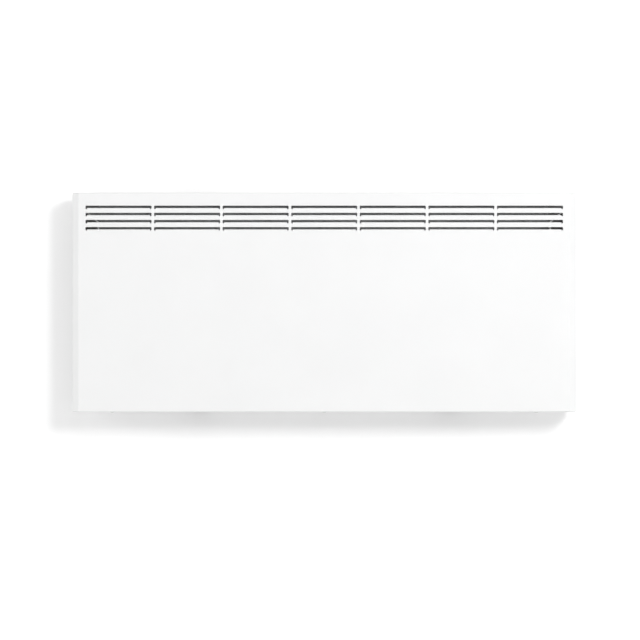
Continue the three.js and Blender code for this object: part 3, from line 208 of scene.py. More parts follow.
MATERIALS = {
    "casing_paint": surface("casing_paint", (0.850, 0.852, 0.852), (0.862, 0.864, 0.864), 9.0, (0.42, 0.48),
                            grain=0.00001, grain_scale=750.0),
    "galvanised_steel": galvanised("galvanised_steel"),
    # A lightened, less metallic copy of the galvanised finish for the duct end walls and their hems: a painted
    # highlight for their edges catching light through the grille.
    "zinc_painted_highlight": galvanised("zinc_painted_highlight", (0.80, 0.80, 0.80), (0.86, 0.86, 0.86), 0.2),
    "plated_fasteners": surface("plated_fasteners", (0.62, 0.62, 0.60), (0.72, 0.71, 0.68), 300.0, (0.2, 0.32), 1.0,
                                grain=0.000004),
    "spring_steel": surface("spring_steel", (0.46, 0.47, 0.49), (0.56, 0.57, 0.59), 120.0, (0.30, 0.40), 0.9,
                            stretch=(1, 1, 0.1), grain=0.000004),
    "element_aluminium": surface("element_aluminium", (0.72, 0.73, 0.74), (0.80, 0.81, 0.82), 160.0, (0.3, 0.42), 1.0,
                                 stretch=(0.03, 1, 1), grain=0.000006, grain_scale=500.0),
    "element_sheath": surface("element_sheath", (0.42, 0.39, 0.35), (0.55, 0.52, 0.48), 90.0, (0.3, 0.45), 1.0),
    "ceramic_bush": surface("ceramic_bush", (0.78, 0.75, 0.68), (0.85, 0.82, 0.76), 250.0, (0.45, 0.6),
                            grain=0.00002),
    "brass_terminal": surface("brass_terminal", (0.72, 0.52, 0.22), (0.82, 0.62, 0.30), 200.0, (0.22, 0.34), 1.0),
    "white_plastic": surface("white_plastic", (0.80, 0.80, 0.79), (0.83, 0.83, 0.82), 120.0, (0.36, 0.44),
                             grain=0.00001, grain_scale=1500.0),
    "grey_plastic": surface("grey_plastic", (0.40, 0.41, 0.42), (0.44, 0.45, 0.46), 120.0, (0.4, 0.5),
                            grain=0.00001, grain_scale=1500.0),
    "black_plastic": surface("black_plastic", (0.018, 0.018, 0.019), (0.030, 0.030, 0.031), 120.0, (0.35, 0.48),
                             grain=0.00001, grain_scale=1500.0),
    "circuit_laminate": surface("circuit_laminate", (0.03, 0.16, 0.06), (0.05, 0.22, 0.09), 180.0, (0.3, 0.42),
                                coat=0.3),
    "lamp_lens": lens_material("lamp_lens"),
    "brown_wire": surface("brown_wire", (0.13, 0.05, 0.025), (0.17, 0.07, 0.035), 200.0, (0.4, 0.5)),
    "blue_wire": surface("blue_wire", (0.02, 0.09, 0.42), (0.03, 0.12, 0.5), 200.0, (0.4, 0.5)),
    "green_yellow_wire": surface("green_yellow_wire", (0.05, 0.32, 0.06), (0.62, 0.58, 0.04), 70.0, (0.4, 0.5)),
    "white_wire": surface("white_wire", (0.72, 0.72, 0.70), (0.78, 0.78, 0.76), 200.0, (0.4, 0.5)),
}


# ---------------------------------------------------------------------------------------------------------------
# Shapes

def body_of(node):
    return next(body for body, nodes in BODIES.items() if node in nodes)


def cube(shape, low, high):
    """Adds a box between two corners and returns its vertices."""
    low, high = Vector(low), Vector(high)
    size = high - low
    place = Matrix.Translation((low + high) / 2) @ Matrix.Diagonal((*size, 1))
    return bmesh.ops.create_cube(shape, size=1, matrix=place)["verts"]


def edges_where(shape, test):
    return [edge for edge in shape.edges if test(edge)]


def along(edge, axis):
    first, second = edge.verts
    return (second.co - first.co).normalized().dot(axis)


def bevelled(shape, edges, offset, segments):
    return bmesh.ops.bevel(shape, geom=edges, offset=offset, segments=segments, profile=0.5, affect="EDGES",
                           clamp_overlap=True, material=-1)


def object_of(name, shape, weld=1e-6):
    """Closes a bmesh into an object of its own."""
    bmesh.ops.remove_doubles(shape, verts=shape.verts, dist=weld)
    bmesh.ops.recalc_face_normals(shape, faces=shape.faces)
    mesh = bpy.data.meshes.new(name)
    shape.to_mesh(mesh)
    shape.free()
    piece = bpy.data.objects.new(name, mesh)
    bpy.context.scene.collection.objects.link(piece)
    return piece


def broken_edges(piece, width, segments=2, angle=32):
    """Breaks the sharp edges of a piece with a small round."""
    bevel = piece.modifiers.new("broken edges", "BEVEL")
    bevel.width = width
    bevel.segments = segments
    bevel.limit_method = "ANGLE"
    bevel.angle_limit = math.radians(angle)
    bevel.use_clamp_overlap = True
    bevel.harden_normals = False


def shaded(piece, angle=34):
    mesh = piece.data
    mesh.shade_smooth()
    mesh.set_sharp_from_angle(angle=math.radians(angle))
    weighted = piece.modifiers.new("even shading", "WEIGHTED_NORMAL")
    weighted.keep_sharp = True


def finished(piece, slot, body, nodes=(), angle=34, look=None):
    piece.data.materials.clear()
    piece.data.materials.append(MATERIALS[look or slot])
    shaded(piece, angle)
    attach(piece, body)
    if nodes:
        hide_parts(*nodes)
    return piece


def refined(node, slot, width=0.00025, segments=2, angle=32, look=None):
    """A frame piece with its flat faces made whole and its sharp edges broken."""
    shape = bmesh.new()
    shape.from_mesh(frame["nodes"][node].data)
    bmesh.ops.remove_doubles(shape, verts=shape.verts, dist=1e-5)
    bmesh.ops.dissolve_limit(shape, angle_limit=math.radians(0.6), verts=shape.verts, edges=shape.edges)
    piece = object_of(node + "_shape", shape, 1e-5)
    if width:
        broken_edges(piece, width, segments, angle)
    return finished(piece, slot, body_of(node), [node], look=look)


def outline_points(corners, radius, steps):
    """Corners of a loop in a plane, rounded by one radius."""
    points = []
    count = len(corners)
    for index, corner in enumerate(corners):
        here = Vector(corner)
        before = (Vector(corners[index - 1]) - here).normalized()
        after = (Vector(corners[(index + 1) % count]) - here).normalized()
        half = before.angle(after) / 2
        reach = radius / math.tan(half)
        centre = here + (before + after).normalized() * radius / math.sin(half)
        start = here + before * reach - centre
        end = here + after * reach - centre
        turn = math.pi - 2 * half
        for step in range(steps + 1):
            share = step / steps
            spoke = start * math.sin((1 - share) * turn) + end * math.sin(share * turn)
            points.append(centre + spoke / math.sin(turn))
    return points


def rectangle(middle_u, middle_v, width, height, radius, steps=4):
    u, v = width / 2, height / 2
    corners = [(middle_u - u, middle_v - v), (middle_u + u, middle_v - v),
               (middle_u + u, middle_v + v), (middle_u - u, middle_v + v)]
    return outline_points(corners, radius, steps)


def prism(shape, points, start, end, axis):
    """Pushes a loop of (u, v) points along an axis: x takes (y, z), y takes (x, z) and z takes (x, y)."""
    def place(u, v, along_axis):
        return {"x": (along_axis, u, v), "y": (u, along_axis, v), "z": (u, v, along_axis)}[axis]
    verts = [shape.verts.new(place(u, v, start)) for u, v in points]
    face = shape.faces.new(verts)
    pushed = bmesh.ops.extrude_face_region(shape, geom=[face])
    moved = [item for item in pushed["geom"] if isinstance(item, bmesh.types.BMVert)]
    bmesh.ops.translate(shape, verts=moved, vec=Vector(place(0, 0, end - start)))
    return face


def circle_points(middle_u, middle_v, radius, steps):
    return [(middle_u + radius * math.cos(2 * math.pi * step / steps),
             middle_v + radius * math.sin(2 * math.pi * step / steps)) for step in range(steps)]


def turned(shape, profile, axis, centre, steps=48):
    """Spins a profile of (distance along the axis, radius) about an axis through a centre."""
    unit = {"x": Vector((1, 0, 0)), "y": Vector((0, 1, 0)), "z": Vector((0, 0, 1))}[axis]
    side = Vector((0, 0, 1)) if axis != "z" else Vector((1, 0, 0))
    centre = Vector(centre)
    verts = [shape.verts.new(centre + unit * reach + side * radius) for reach, radius in profile]
    edges = [shape.edges.new(pair) for pair in zip(verts, verts[1:])]
    bmesh.ops.spin(shape, geom=verts + edges, cent=centre, axis=unit, dvec=(0, 0, 0), angle=2 * math.pi,
                   steps=steps, use_merge=True, use_duplicate=False)


def subtract(piece, cutter):
    """Cuts one object out of another and throws the cutter away."""
    modifier = piece.modifiers.new("cut", "BOOLEAN")
    modifier.operation = "DIFFERENCE"
    modifier.solver = "EXACT"
    modifier.object = cutter
    settled = bpy.data.meshes.new_from_object(piece.evaluated_get(bpy.context.evaluated_depsgraph_get()))
    piece.modifiers.remove(modifier)
    piece.data = settled
    bpy.data.objects.remove(cutter)


# ---------------------------------------------------------------------------------------------------------------
# Front panel

def bay_centre(bay):
    return (bay - (BAYS - 1) / 2) * BAY_PITCH


def slot_top(row):
    return FIRST_ROW - row * ROW_PITCH


def slot_foot(row):
    return slot_top(row) - SLOT_GAP - LIP_RADIUS


def pan():
    """The folded pan before it is pierced: one sheet with rounded bends, open at the back."""
    shape = bmesh.new()
    cube(shape, (-HALF_WIDTH, FRONT, -HALF_HEIGHT), (HALF_WIDTH, PAN_END, HALF_HEIGHT))
    back = [face for face in shape.faces if face.normal.y > 0.9]
    bmesh.ops.delete(shape, geom=back, context="FACES")
    upright = Vector((0, 0, 1))

    def front_side(edge):
        return abs(along(edge, upright)) > 0.9 and edge.verts[0].co.y < FRONT + 0.001

    bevelled(shape, edges_where(shape, front_side), CHAMFER, 1)

    def side_bend(edge):
        return abs(along(edge, upright)) > 0.9 and edge.verts[0].co.y < PAN_END - 0.001

    bevelled(shape, edges_where(shape, side_bend), BEND_OFFSET, 4)

    def rim(edge):
        level = all(abs(abs(vert.co.z) - HALF_HEIGHT) < 1e-5 for vert in edge.verts)
        return level and len(edge.link_faces) == 2 and edge.calc_face_angle(0) > math.radians(60)

    bevelled(shape, edges_where(shape, rim), EDGE_RADIUS, 6)
    bmesh.ops.recalc_face_normals(shape, faces=shape.faces)
    if sum(face.normal.dot(face.calc_center_median()) for face in shape.faces) < 0:
        bmesh.ops.reverse_faces(shape, faces=shape.faces)
    bmesh.ops.solidify(shape, geom=shape.faces, thickness=SHEET)
    return object_of("front_panel_shape", shape)


def slot_cutter(shape, bay, row):
    """One opening, whose lower face is in three so that the lip grows from the middle one."""
    foot, top = slot_foot(row), slot_top(row)
    points = [Vector(point) for point in
              rectangle(bay_centre(bay), (foot + top) / 2, SLOT_LENGTH, top - foot, SLOT_CORNER, 3)]
    reach = SLOT_LENGTH / 2 - LIP_NOTCH
    lowest = [index for index, point in enumerate(points) if abs(point.y - foot) < 2e-6]
    first = min(lowest, key=lambda index: points[index].x)
    notches = [Vector((bay_centre(bay) - reach, foot)), Vector((bay_centre(bay) + reach, foot))]
    points[first + 1:first + 1] = notches
    prism(shape, points, FRONT - OVERCUT, FRONT + SHEET + OVERCUT, "y")


def front_panel():
    piece = pan()
    through_bottom = (-HALF_HEIGHT - OVERCUT, -HALF_HEIGHT + SHEET + OVERCUT)
    shape = bmesh.new()
    for bay in range(BAYS):
        for row in range(ROWS):
            slot_cutter(shape, bay, row)
        for row in range(INTAKE_ROWS):
            points = rectangle(bay_centre(bay), INTAKE_FRONT + row * INTAKE_PITCH, INTAKE_LENGTH, INTAKE_WIDTH,
                               INTAKE_WIDTH / 2 - 0.00001, 6)
            prism(shape, points, *through_bottom, "z")
    window = rectangle(CONTROL_Y, CONTROL_Z, WINDOW_WIDTH, WINDOW_HEIGHT, WINDOW_CORNER, 6)
    prism(shape, window, HALF_WIDTH - SHEET - OVERCUT, HALF_WIDTH + OVERCUT, "x")
    for x in SCREW_X:
        prism(shape, circle_points(x, SCREW_Y, SCREW_HOLE, 20), *through_bottom, "z")
    subtract(piece, object_of("openings", shape))

    shape = bmesh.new()
    shape.from_mesh(piece.data)
    bmesh.ops.remove_doubles(shape, verts=shape.verts, dist=2e-6)
    for row in range(ROWS):
        foot = slot_foot(row)
        ledges = [face for face in shape.faces if face.normal.z > 0.99
                  and abs(face.calc_center_median().z - foot) < 1e-5
                  and face.calc_area() > 0.5 * SHEET * SLOT_LENGTH]
        curl = bmesh.ops.spin(shape, geom=ledges, cent=(0, FRONT + LIP_RADIUS, foot), axis=(1, 0, 0),
                              angle=-math.pi / 2, steps=6, use_duplicate=False)
        ends = [item for item in curl["geom_last"] if isinstance(item, bmesh.types.BMFace)]
        pushed = bmesh.ops.extrude_face_region(shape, geom=ends)
        moved = [item for item in pushed["geom"] if isinstance(item, bmesh.types.BMVert)]
        bmesh.ops.translate(shape, verts=moved, vec=(0, LIP_REACH, 0))
    shape.to_mesh(piece.data)
    shape.free()
    broken_edges(piece, 0.00018, 2, 50)
    return finished(piece, "casing_paint", "heater", ["front_panel"])


# ---------------------------------------------------------------------------------------------------------------
# Controls

def thermostat_knob():
    """The fluted cap, its crown with a groove, and the line laid in the groove."""
    base, top = TRAY_FLOOR + 0.001, TRAY_X - 0.0012
    shape = bmesh.new()
    steps = KNOB_GRIPS * 8
    rim = []
    for step in range(steps):
        angle = 2 * math.pi * step / steps
        radius = KNOB_RADIUS - KNOB_FLUTE + KNOB_FLUTE * math.cos(KNOB_GRIPS * angle)
        rim.append((CONTROL_Y + radius * math.cos(angle), KNOB_Z + radius * math.sin(angle)))
    prism(shape, rim, base, top - 0.003, "x")
    body = object_of("knob_body", shape)
    broken_edges(body, 0.0005, 3, 50)
    finished(body, "white_plastic", "knob", ["thermostat_knob"])

    shape = bmesh.new()
    turned(shape, [(top - 0.0031, 0.0), (top - 0.0031, 0.0084), (top - 0.0028, 0.0084), (top - 0.0012, 0.0080),
                   (top - 0.0005, 0.0075), (top - 0.0001, 0.0068), (top, 0.0060), (top, 0.0)],
           "x", (0, CONTROL_Y, KNOB_Z), 64)
    crown = object_of("knob_crown", shape)
    shape = bmesh.new()
    groove = rectangle(CONTROL_Y, KNOB_Z + POINTER_REACH, 0.0011, 0.0048, 0.00054, 4)
    prism(shape, groove, top - 0.0006, top + OVERCUT, "x")
    subtract(crown, object_of("pointer_groove", shape))
    finished(crown, "white_plastic", "knob")
    shape = bmesh.new()
    pointer = rectangle(CONTROL_Y, KNOB_Z + POINTER_REACH, 0.00105, 0.00475, 0.00052, 4)
    prism(shape, pointer, top - 0.00058, top - 0.0001, "x")
    finished(object_of("knob_pointer", shape), "black_plastic", "knob")


def dial_marks():
    """Fine printed strokes round the knob, from the lowest setting at the top clockwise over its whole turn."""
    shape = bmesh.new()
    inner = 0.0120
    for index in range(DIAL_STROKES):
        angle = math.radians(DIAL_START - DIAL_SWEEP * index / (DIAL_STROKES - 1))
        outer, half = (0.0139, 0.00022) if index % 3 == 0 else (0.0130, 0.00015)
        along_spoke = Vector((math.cos(angle), math.sin(angle)))
        across = Vector((-along_spoke.y, along_spoke.x)) * half
        middle = Vector((CONTROL_Y, KNOB_Z))
        corners = [middle + along_spoke * inner - across, middle + along_spoke * outer - across,
                   middle + along_spoke * outer + across, middle + along_spoke * inner + across]
        prism(shape, corners, TRAY_FLOOR - 0.00002, TRAY_FLOOR + INK, "x")
    return finished(object_of("dial_marks", shape), "grey_plastic", "heater")


def switch_rocker():
    """A rocker whose two halves slope to the middle."""
    return refined("switch_rocker", "black_plastic", 0.0003, 3, 25)


def laid_on_rocker(shape):
    """Lays flat points, as (height, y, z), on the sloping faces of the rocker as it rests."""
    slope = math.tan(ROCKER_TILT)
    reach = ROCKER_RADIUS + ROCKER_BLEND
    turn = Matrix.Rotation(ROCKER_TILT, 4, "Y")
    for vert in shape.verts:
        lift, y, z = vert.co
        height = ROCKER_RISE - slope * (reach - abs(z)) * ROCKER_RADIUS / reach
        place = turn @ Vector((height + lift, 0, z))
        vert.co = (ROCKER_PIVOT + place.x, y, SWITCH_Z + place.z)


def switch_marks():
    """The stroke for on and the ring for off, one on each half of the rocker."""
    middle, steps = 0.0040, 32
    shape = bmesh.new()
    prism(shape, rectangle(CONTROL_Y, middle, 0.0005, 0.0030, 0.00024, 3), 0.0, INK, "x")
    outer, inner = ([shape.verts.new((0.0, *point)) for point in circle_points(CONTROL_Y, -middle, radius, steps)]
                    for radius in (0.0015, 0.0011))
    ring = []
    for step in range(steps):
        after = (step + 1) % steps
        ring.append(shape.faces.new((outer[step], outer[after], inner[after], inner[step])))
    pushed = bmesh.ops.extrude_face_region(shape, geom=ring)
    moved = [item for item in pushed["geom"] if isinstance(item, bmesh.types.BMVert)]
    bmesh.ops.translate(shape, verts=moved, vec=(INK, 0, 0))
    laid_on_rocker(shape)
    return finished(object_of("switch_marks", shape), "white_plastic", "rocker")


def indicator_lens():
    """A lens with a domed head, on a straight stem."""
    shape = bmesh.new()
    foot, shoulder = TRAY_FLOOR - 0.012, TRAY_FLOOR + 0.0006
    stem, dome, dome_rise, steps = 0.0025, 0.00242, 0.0016, 7
    profile = [(foot, 0.0), (foot, stem), (TRAY_FLOOR, stem), (shoulder, dome)]
    for step in range(1, steps + 1):
        angle = math.pi / 2 * step / steps
        profile.append((shoulder + dome_rise * math.sin(angle), dome * math.cos(angle)))
    turned(shape, profile, "x", (0, CONTROL_Y, LAMP_Z), 40)
    return finished(object_of("indicator_lens_shape", shape), "lamp_lens", "heater", ["indicator_lens"])


CAPACITORS = [(-0.0692, 0.0612, 0.0026, 0.0085), (-0.0692, 0.0676, 0.0026, 0.0085),
              (-0.0415, 0.0600, 0.0021, 0.0062)]  # y, z, radius and height
RESISTORS = [(-0.0405, 0.0500), (-0.0430, 0.0500), (-0.0455, 0.0680), (-0.0480, 0.0680)]  # y and z
WIRE_HALF = 0.0002


def board_capacitors():
    """The capacitors and the chip that stand on the board beside the relay."""
    shape = bmesh.new()
    for y, z, radius, height in CAPACITORS:
        top = BOARD_FACE + height
        profile = [(BOARD_FACE, 0), (BOARD_FACE, radius), (top - 0.0018, radius), (top - 0.0015, radius - 0.0002),
                   (top - 0.0012, radius), (top - 0.0003, radius), (top, radius - 0.0003), (top, 0)]
        turned(shape, profile, "x", (0, y, z), 32)
    cube(shape, (BOARD_FACE, -0.0605, 0.0635), (BOARD_FACE + 0.0022, -0.0545, 0.0720))
    piece = object_of("board_capacitors", shape)
    broken_edges(piece, 0.00015, 2, 40)
    return finished(piece, "black_plastic", "heater")


def board_resistors():
    """Small resistors lying on the board, each between its two bent legs."""
    shape = bmesh.new()
    half = [(0.0031, 0), (0.0031, 0.0008), (0.0028, 0.0011), (0.0018, 0.0011), (0.0015, 0.0009)]
    axle = BOARD_FACE + 0.0012
    for y, z in RESISTORS:
        profile = [(z - reach, radius) for reach, radius in half]
        profile += [(z + reach, radius) for reach, radius in reversed(half)]
        turned(shape, profile, "z", (axle, y, 0), 24)
        left, right, top = y - WIRE_HALF, y + WIRE_HALF, axle + WIRE_HALF
        for foot in (z - 0.0042, z + 0.0042):
            cube(shape, (BOARD_FACE, left, foot - WIRE_HALF), (top, right, foot + WIRE_HALF))
            near, far = sorted((foot, z + math.copysign(0.0030, foot - z)))
            cube(shape, (axle - WIRE_HALF, left, near), (top, right, far))
    return finished(object_of("board_resistors", shape), "ceramic_bush", "heater")


# ---------------------------------------------------------------------------------------------------------------
# Air duct

DUCT_X = 0.4123
FLARE_START = 0.146
FLARE_RUN = 0.033
FLARE_RISE = 0.029
HEM_BELOW = 0.014  # straight run of the hem below the flare
HEM_ABOVE = 0.007  # and above it
HEM_FRONT = -0.0788
HEM_DEPTH = 0.0030
HEM_HALF = 0.0009


def duct_hem(side):
    """The folded front edge of a duct end wall, given a lightened copy of the zinc finish so that it shows pale
    through the grille: a painted highlight where the edge catches light.
    """
    line = [Vector((DUCT_X, FLARE_START - HEM_BELOW)), Vector((DUCT_X, FLARE_START)),
            Vector((DUCT_X + FLARE_RUN, FLARE_START + FLARE_RISE)),
            Vector((DUCT_X + FLARE_RUN, FLARE_START + FLARE_RISE + HEM_ABOVE))]
    lean = math.atan2(FLARE_RUN, FLARE_RISE) / 2
    shift = HEM_HALF / math.cos(lean)
    tilt = Vector((math.cos(lean), -math.sin(lean))) * shift
    offsets = [Vector((HEM_HALF, 0)), tilt, tilt, Vector((HEM_HALF, 0))]
    outer = [point + offset for point, offset in zip(line, offsets)]
    inner = [point - offset for point, offset in zip(line, offsets)]
    loop = [(side * point.x, point.y) for point in outer + inner[::-1]]
    shape = bmesh.new()
    prism(shape, loop, HEM_FRONT, HEM_FRONT + HEM_DEPTH, "y")
    piece = object_of("duct_hem_left" if side < 0 else "duct_hem_right", shape)
    broken_edges(piece, 0.0003, 3, 40)
    return finished(piece, "galvanised_steel", "heater", look="zinc_painted_highlight")


# ---------------------------------------------------------------------------------------------------------------
# All pieces

REFINED = {
    "rear_panel": ("casing_paint", 0.00020),
    "control_tray": ("white_plastic", 0.00035),
    "heat_shield": ("galvanised_steel", 0.00015),
    "outlet_deflector": ("galvanised_steel", 0.00015),
    "element_fins": ("element_aluminium", 0.00020),
    "element_rest": ("galvanised_steel", 0.00020),
    "bracket_upright_left": ("galvanised_steel", 0.00030),
    "bracket_upright_right": ("galvanised_steel", 0.00030),
    "bracket_rail": ("galvanised_steel", 0.00030),
    "latch_spring_left": ("spring_steel", 0.00015),
    "latch_spring_right": ("spring_steel", 0.00015),
    "pivot_bracket_left": ("galvanised_steel", 0.00025),
    "pivot_bracket_right": ("galvanised_steel", 0.00025),
    "switch_housing": ("black_plastic", 0.00020),
    "board_holder": ("grey_plastic", 0.00020),
    "thermostat_potentiometer": ("black_plastic", 0.00020),
    "power_relay": ("black_plastic", 0.00025),
    "gland_nut": ("black_plastic", 0.00025),
    "terminal_block": ("white_plastic", 0.00025),
    "earth_nut": ("brass_terminal", 0.00020),
    "sensor_clip": ("white_plastic", 0.00015),
    "circuit_board": ("circuit_laminate", 0.00012),
}

CARRIED = {
    "element_stud_left": "brass_terminal",
    "element_stud_right": "brass_terminal",
    "lead_element_left": "brown_wire",
    "lead_element_right": "blue_wire",
    "lead_cutout": "brown_wire",
    "lead_live": "brown_wire",
    "lead_neutral": "blue_wire",
    "lead_earth": "green_yellow_wire",
    "lead_sensor": "white_wire",
}


# ---------------------------------------------------------------------------------------------------------------
# Round pieces. Each profile gives (distance from the low end, radius) in millimetres.

def threaded(start, end, crest, root, pitch=0.8):
    """The crests and roots of a thread, as rings."""
    count = int((end - start) / pitch)
    points = []
    for turn in range(count):
        points.append((start + turn * pitch, root))
        points.append((start + (turn + 0.5) * pitch, crest))
    return points + [(start + count * pitch, root)]


def rivet_profile(length):
    return [(0, 0), (0.05, 1.5), (0.35, 3.0), (0.8, 4.0), (1.3, 4.4), (1.5, 4.4), (1.5, 2.4), (length, 2.4),
            (length, 0)]


def pivot_rivet_profile(length):
    seat = length - 1.5
    return [(0, 0), (0, 2.2), (0.2, 2.4), (seat, 2.4), (seat, 3.8), (seat + 0.4, 3.8), (seat + 1.0, 3.1),
            (seat + 1.4, 1.7), (length, 0)]


def casing_screw_profile(length):
    return [(0, 0), (0, 2.7), (0.3, 3.4), (0.8, 3.85), (1.3, 4), (1.8, 4), (1.8, 1.9), (3.0, 1.9),
            *threaded(3.1, length - 0.9, 1.9, 1.5), (length, 0.9), (length, 0)]


def bezel_screw_profile(length):
    seat = length - 1.4
    return [(0, 0), (0, 0.8), *threaded(0.5, seat - 1.2, 1.5, 1.2, 0.6), (seat, 1.3), (seat, 2.8), (seat + 0.6, 2.8),
            (seat + 1.0, 2.5), (seat + 1.3, 1.6), (length, 0)]


def pin_profile(length):
    return [(0, 0), (0, 2.4), (0.25, 2.85), (0.8, 3), (length - 0.8, 3), (length - 0.25, 2.85), (length, 2.4),
            (length, 0)]


def sheath_profile(length):
    return [(0, 0), (0, 3.8), (0.4, 4.2), (length - 0.4, 4.2), (length, 3.8), (length, 0)]


def shaft_profile(length):
    return [(0, 0), (0, 2.7), (0.3, 3), (length - 0.4, 3), (length, 2.6), (length, 0)]


def bush_profile(length):
    half = [(0, 4.5), (0, 6.6), (0.3, 7.0), (4.2, 9.15), (4.7, 9.5), (7.9, 9.5), (8.4, 9.1), (8.4, 7.0)]
    return half + [(length - reach, radius) for reach, radius in reversed(half)] + [half[0]]


def cutout_profile(length):
    return [(0, 0), (0, 7.3), (0.7, 8), (4, 8), (4, 10.7), (4.3, 11), (4.7, 11), (5, 10.7), (5, 8),
            (length - 0.7, 8), (length, 7.3), (length, 0)]


def gland_profile(length):
    return [(0, 4), (0, 7.4), *threaded(0.4, 4.8, 8, 7.5, 1.1), (5.0, 8), (11.1, 8), (11.1, 10.6), (11.5, 11),
            (15.2, 11), (15.8, 10.8), (18.2, 9.0), (18.9, 8.3), (length, 7.7), (length, 4.8), (length - 0.6, 4.1),
            (0, 4)]


def earth_stud_profile(length):
    return [(0, 0), (0, 1.6), *threaded(0.4, 8.4, 2, 1.65, 0.7), (8.6, 2), (length - 1.2, 2), (length - 1.2, 4),
            (length, 4), (length, 0)]


def sensor_profile(length):
    return [(0, 0), (0.12, 0.9), (0.5, 1.65), (1.1, 2.25), (2, 2.6), (length, 2.6), (length, 0)]


def spun(node, axis, slot, profile, steps):
    """A round piece turned about the middle line of the frame piece that it stands for."""
    low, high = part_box(node)
    index = "xyz".index(axis)
    centre = [(first + last) / 2 for first, last in zip(low, high)]
    centre[index] = low[index]
    length = (high[index] - low[index]) * 1000
    shape = bmesh.new()
    turned(shape, [(reach / 1000, radius / 1000) for reach, radius in profile(length)], axis, centre, steps)
    return object_of(node + "_shape", shape), slot, node


def recessed(made, boxes):
    """Sinks a driver recess into the head of a screw."""
    for low, high in boxes:
        shape = bmesh.new()
        cube(shape, low, high)
        subtract(made[0], object_of("recess", shape))
    return made


PAIRED = [
    ("rail_rivet_{}", "y", "plated_fasteners", rivet_profile, 32),
    ("latch_rivet_{}", "y", "plated_fasteners", rivet_profile, 32),
    ("pivot_pin_{}", "x", "plated_fasteners", pin_profile, 40),
    ("element_bush_{}", "x", "ceramic_bush", bush_profile, 48),
    ("pivot_rivet_{}_upper", "y", "plated_fasteners", pivot_rivet_profile, 32),
    ("pivot_rivet_{}_lower", "y", "plated_fasteners", pivot_rivet_profile, 32),
]

SINGLE = [
    ("element_sheath", "x", "element_sheath", sheath_profile, 40),
    ("thermostat_shaft", "x", "plated_fasteners", shaft_profile, 32),
    ("thermal_cutout", "y", "black_plastic", cutout_profile, 48),
    ("cable_gland", "y", "black_plastic", gland_profile, 64),
    ("earth_stud", "y", "brass_terminal", earth_stud_profile, 32),
    ("room_sensor", "y", "black_plastic", sensor_profile, 32),
]

CROSS_LOW = -HALF_HEIGHT - 0.0031
CROSS_DEPTH = 0.0016
CROSS_ARM = 0.0023
CROSS_HALF = 0.0005
BEZEL_SCREWS = [("bezel_screw_upper", 0.1035), ("bezel_screw_lower", 0.0205)]
DRIVER_SLOT_DEPTH = 0.0007
DRIVER_SLOT_HALF = 0.0004


def cross_recess(x):
    """The two bars of the cross in the head of a casing screw."""
    return [((x - wide, SCREW_Y - deep, CROSS_LOW), (x + wide, SCREW_Y + deep, CROSS_LOW + CROSS_DEPTH))
            for wide, deep in ((CROSS_HALF, CROSS_ARM), (CROSS_ARM, CROSS_HALF))]


def round_pieces():
    made = []
    for side in ("left", "right"):
        made += [spun(node.format(side), *rest) for node, *rest in PAIRED]
    made += [spun(*piece) for piece in SINGLE]
    for index, x in enumerate(SCREW_X):
        screw = spun(f"casing_screw_{index + 1}", "z", "plated_fasteners", casing_screw_profile, 32)
        made.append(recessed(screw, cross_recess(x)))
    for node, z in BEZEL_SCREWS:
        screw = spun(node, "x", "plated_fasteners", bezel_screw_profile, 32)
        floor_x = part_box(node)[1][0] - DRIVER_SLOT_DEPTH
        made.append(recessed(screw, [((floor_x, CONTROL_Y - 0.004, z - DRIVER_SLOT_HALF),
                                      (floor_x + 0.002, CONTROL_Y + 0.004, z + DRIVER_SLOT_HALF))]))
    for piece, slot, node in made:
        finished(piece, slot, body_of(node), [node], 40)


def all_pieces():
    front_panel()
    thermostat_knob()
    switch_rocker()
    indicator_lens()
    dial_marks()
    switch_marks()
    board_capacitors()
    board_resistors()
    for side, node in ((-1, "duct_end_wall_left"), (1, "duct_end_wall_right")):
        # The end walls keep the galvanised slot but are drawn in the lightened zinc copy, a painted highlight.
        refined(node, "galvanised_steel", 0.00015, look="zinc_painted_highlight")
        duct_hem(side)
    round_pieces()
    for node, (slot, width) in REFINED.items():
        refined(node, slot, width)
    for node, slot in CARRIED.items():
        refined(node, slot, 0.00015, 2, 38)


# ---------------------------------------------------------------------------------------------------------------
# Wall, floor, light and camera

VIEW_X = -0.0077
VIEW_Z = -0.0321
CAMERA_DISTANCE = 6.0
FIELD = 1.1667  # width of the picture at the front face
SENSOR = 36.0
WALL_Y = 0.002
FLOOR_Z = -0.9
LAMPS = [
    ("key", (2.0, -3.6, 1.5), 1.2, 76),
    ("fill", (-3.4, -1.4, 0.3), 2.2, 47),
    ("side", (3.6, -1.3, 0.4), 1.6, 26),
    ("top", (0.2, -1.3, 2.4), 2.0, 13),
    ("rear", (0.6, 2.6, 1.4), 2.0, 18),
]  # name, place, size and watts


def backdrop_material(name, colour):
    material, nodes, links = new_material(name)
    shader = nodes["Principled BSDF"]
    vector = coordinates(nodes, links, (1, 1, 1))
    drift = noise(nodes, links, vector, 3.0)
    links.new(ramp(nodes, links, drift, colour, [min(value + 0.01, 1.0) for value in colour]),
              shader.inputs["Base Color"])
    shader.inputs["Roughness"].default_value = 0.9
    shader.inputs["Specular IOR Level"].default_value = 0.0
    return material, nodes, links


def clear_from_behind(nodes, links, front):
    side = nodes.new("ShaderNodeNewGeometry")
    clear = nodes.new("ShaderNodeBsdfTransparent")
    blend = nodes.new("ShaderNodeMixShader")
    links.new(side.outputs["Backfacing"], blend.inputs["Fac"])
    links.new(front, blend.inputs[1])
    links.new(clear.outputs["BSDF"], blend.inputs[2])
    links.new(blend.outputs["Shader"], nodes["Material Output"].inputs["Surface"])


def backdrop(name, material, corners):
    """One flat sheet of the setting."""
    shape = bmesh.new()
    shape.faces.new([shape.verts.new(corner) for corner in corners])
    mesh = bpy.data.meshes.new(name)
    shape.to_mesh(mesh)
    shape.free()
    mesh.materials.append(material)
    piece = bpy.data.objects.new(name, mesh)
    bpy.context.scene.collection.objects.link(piece)
    return piece


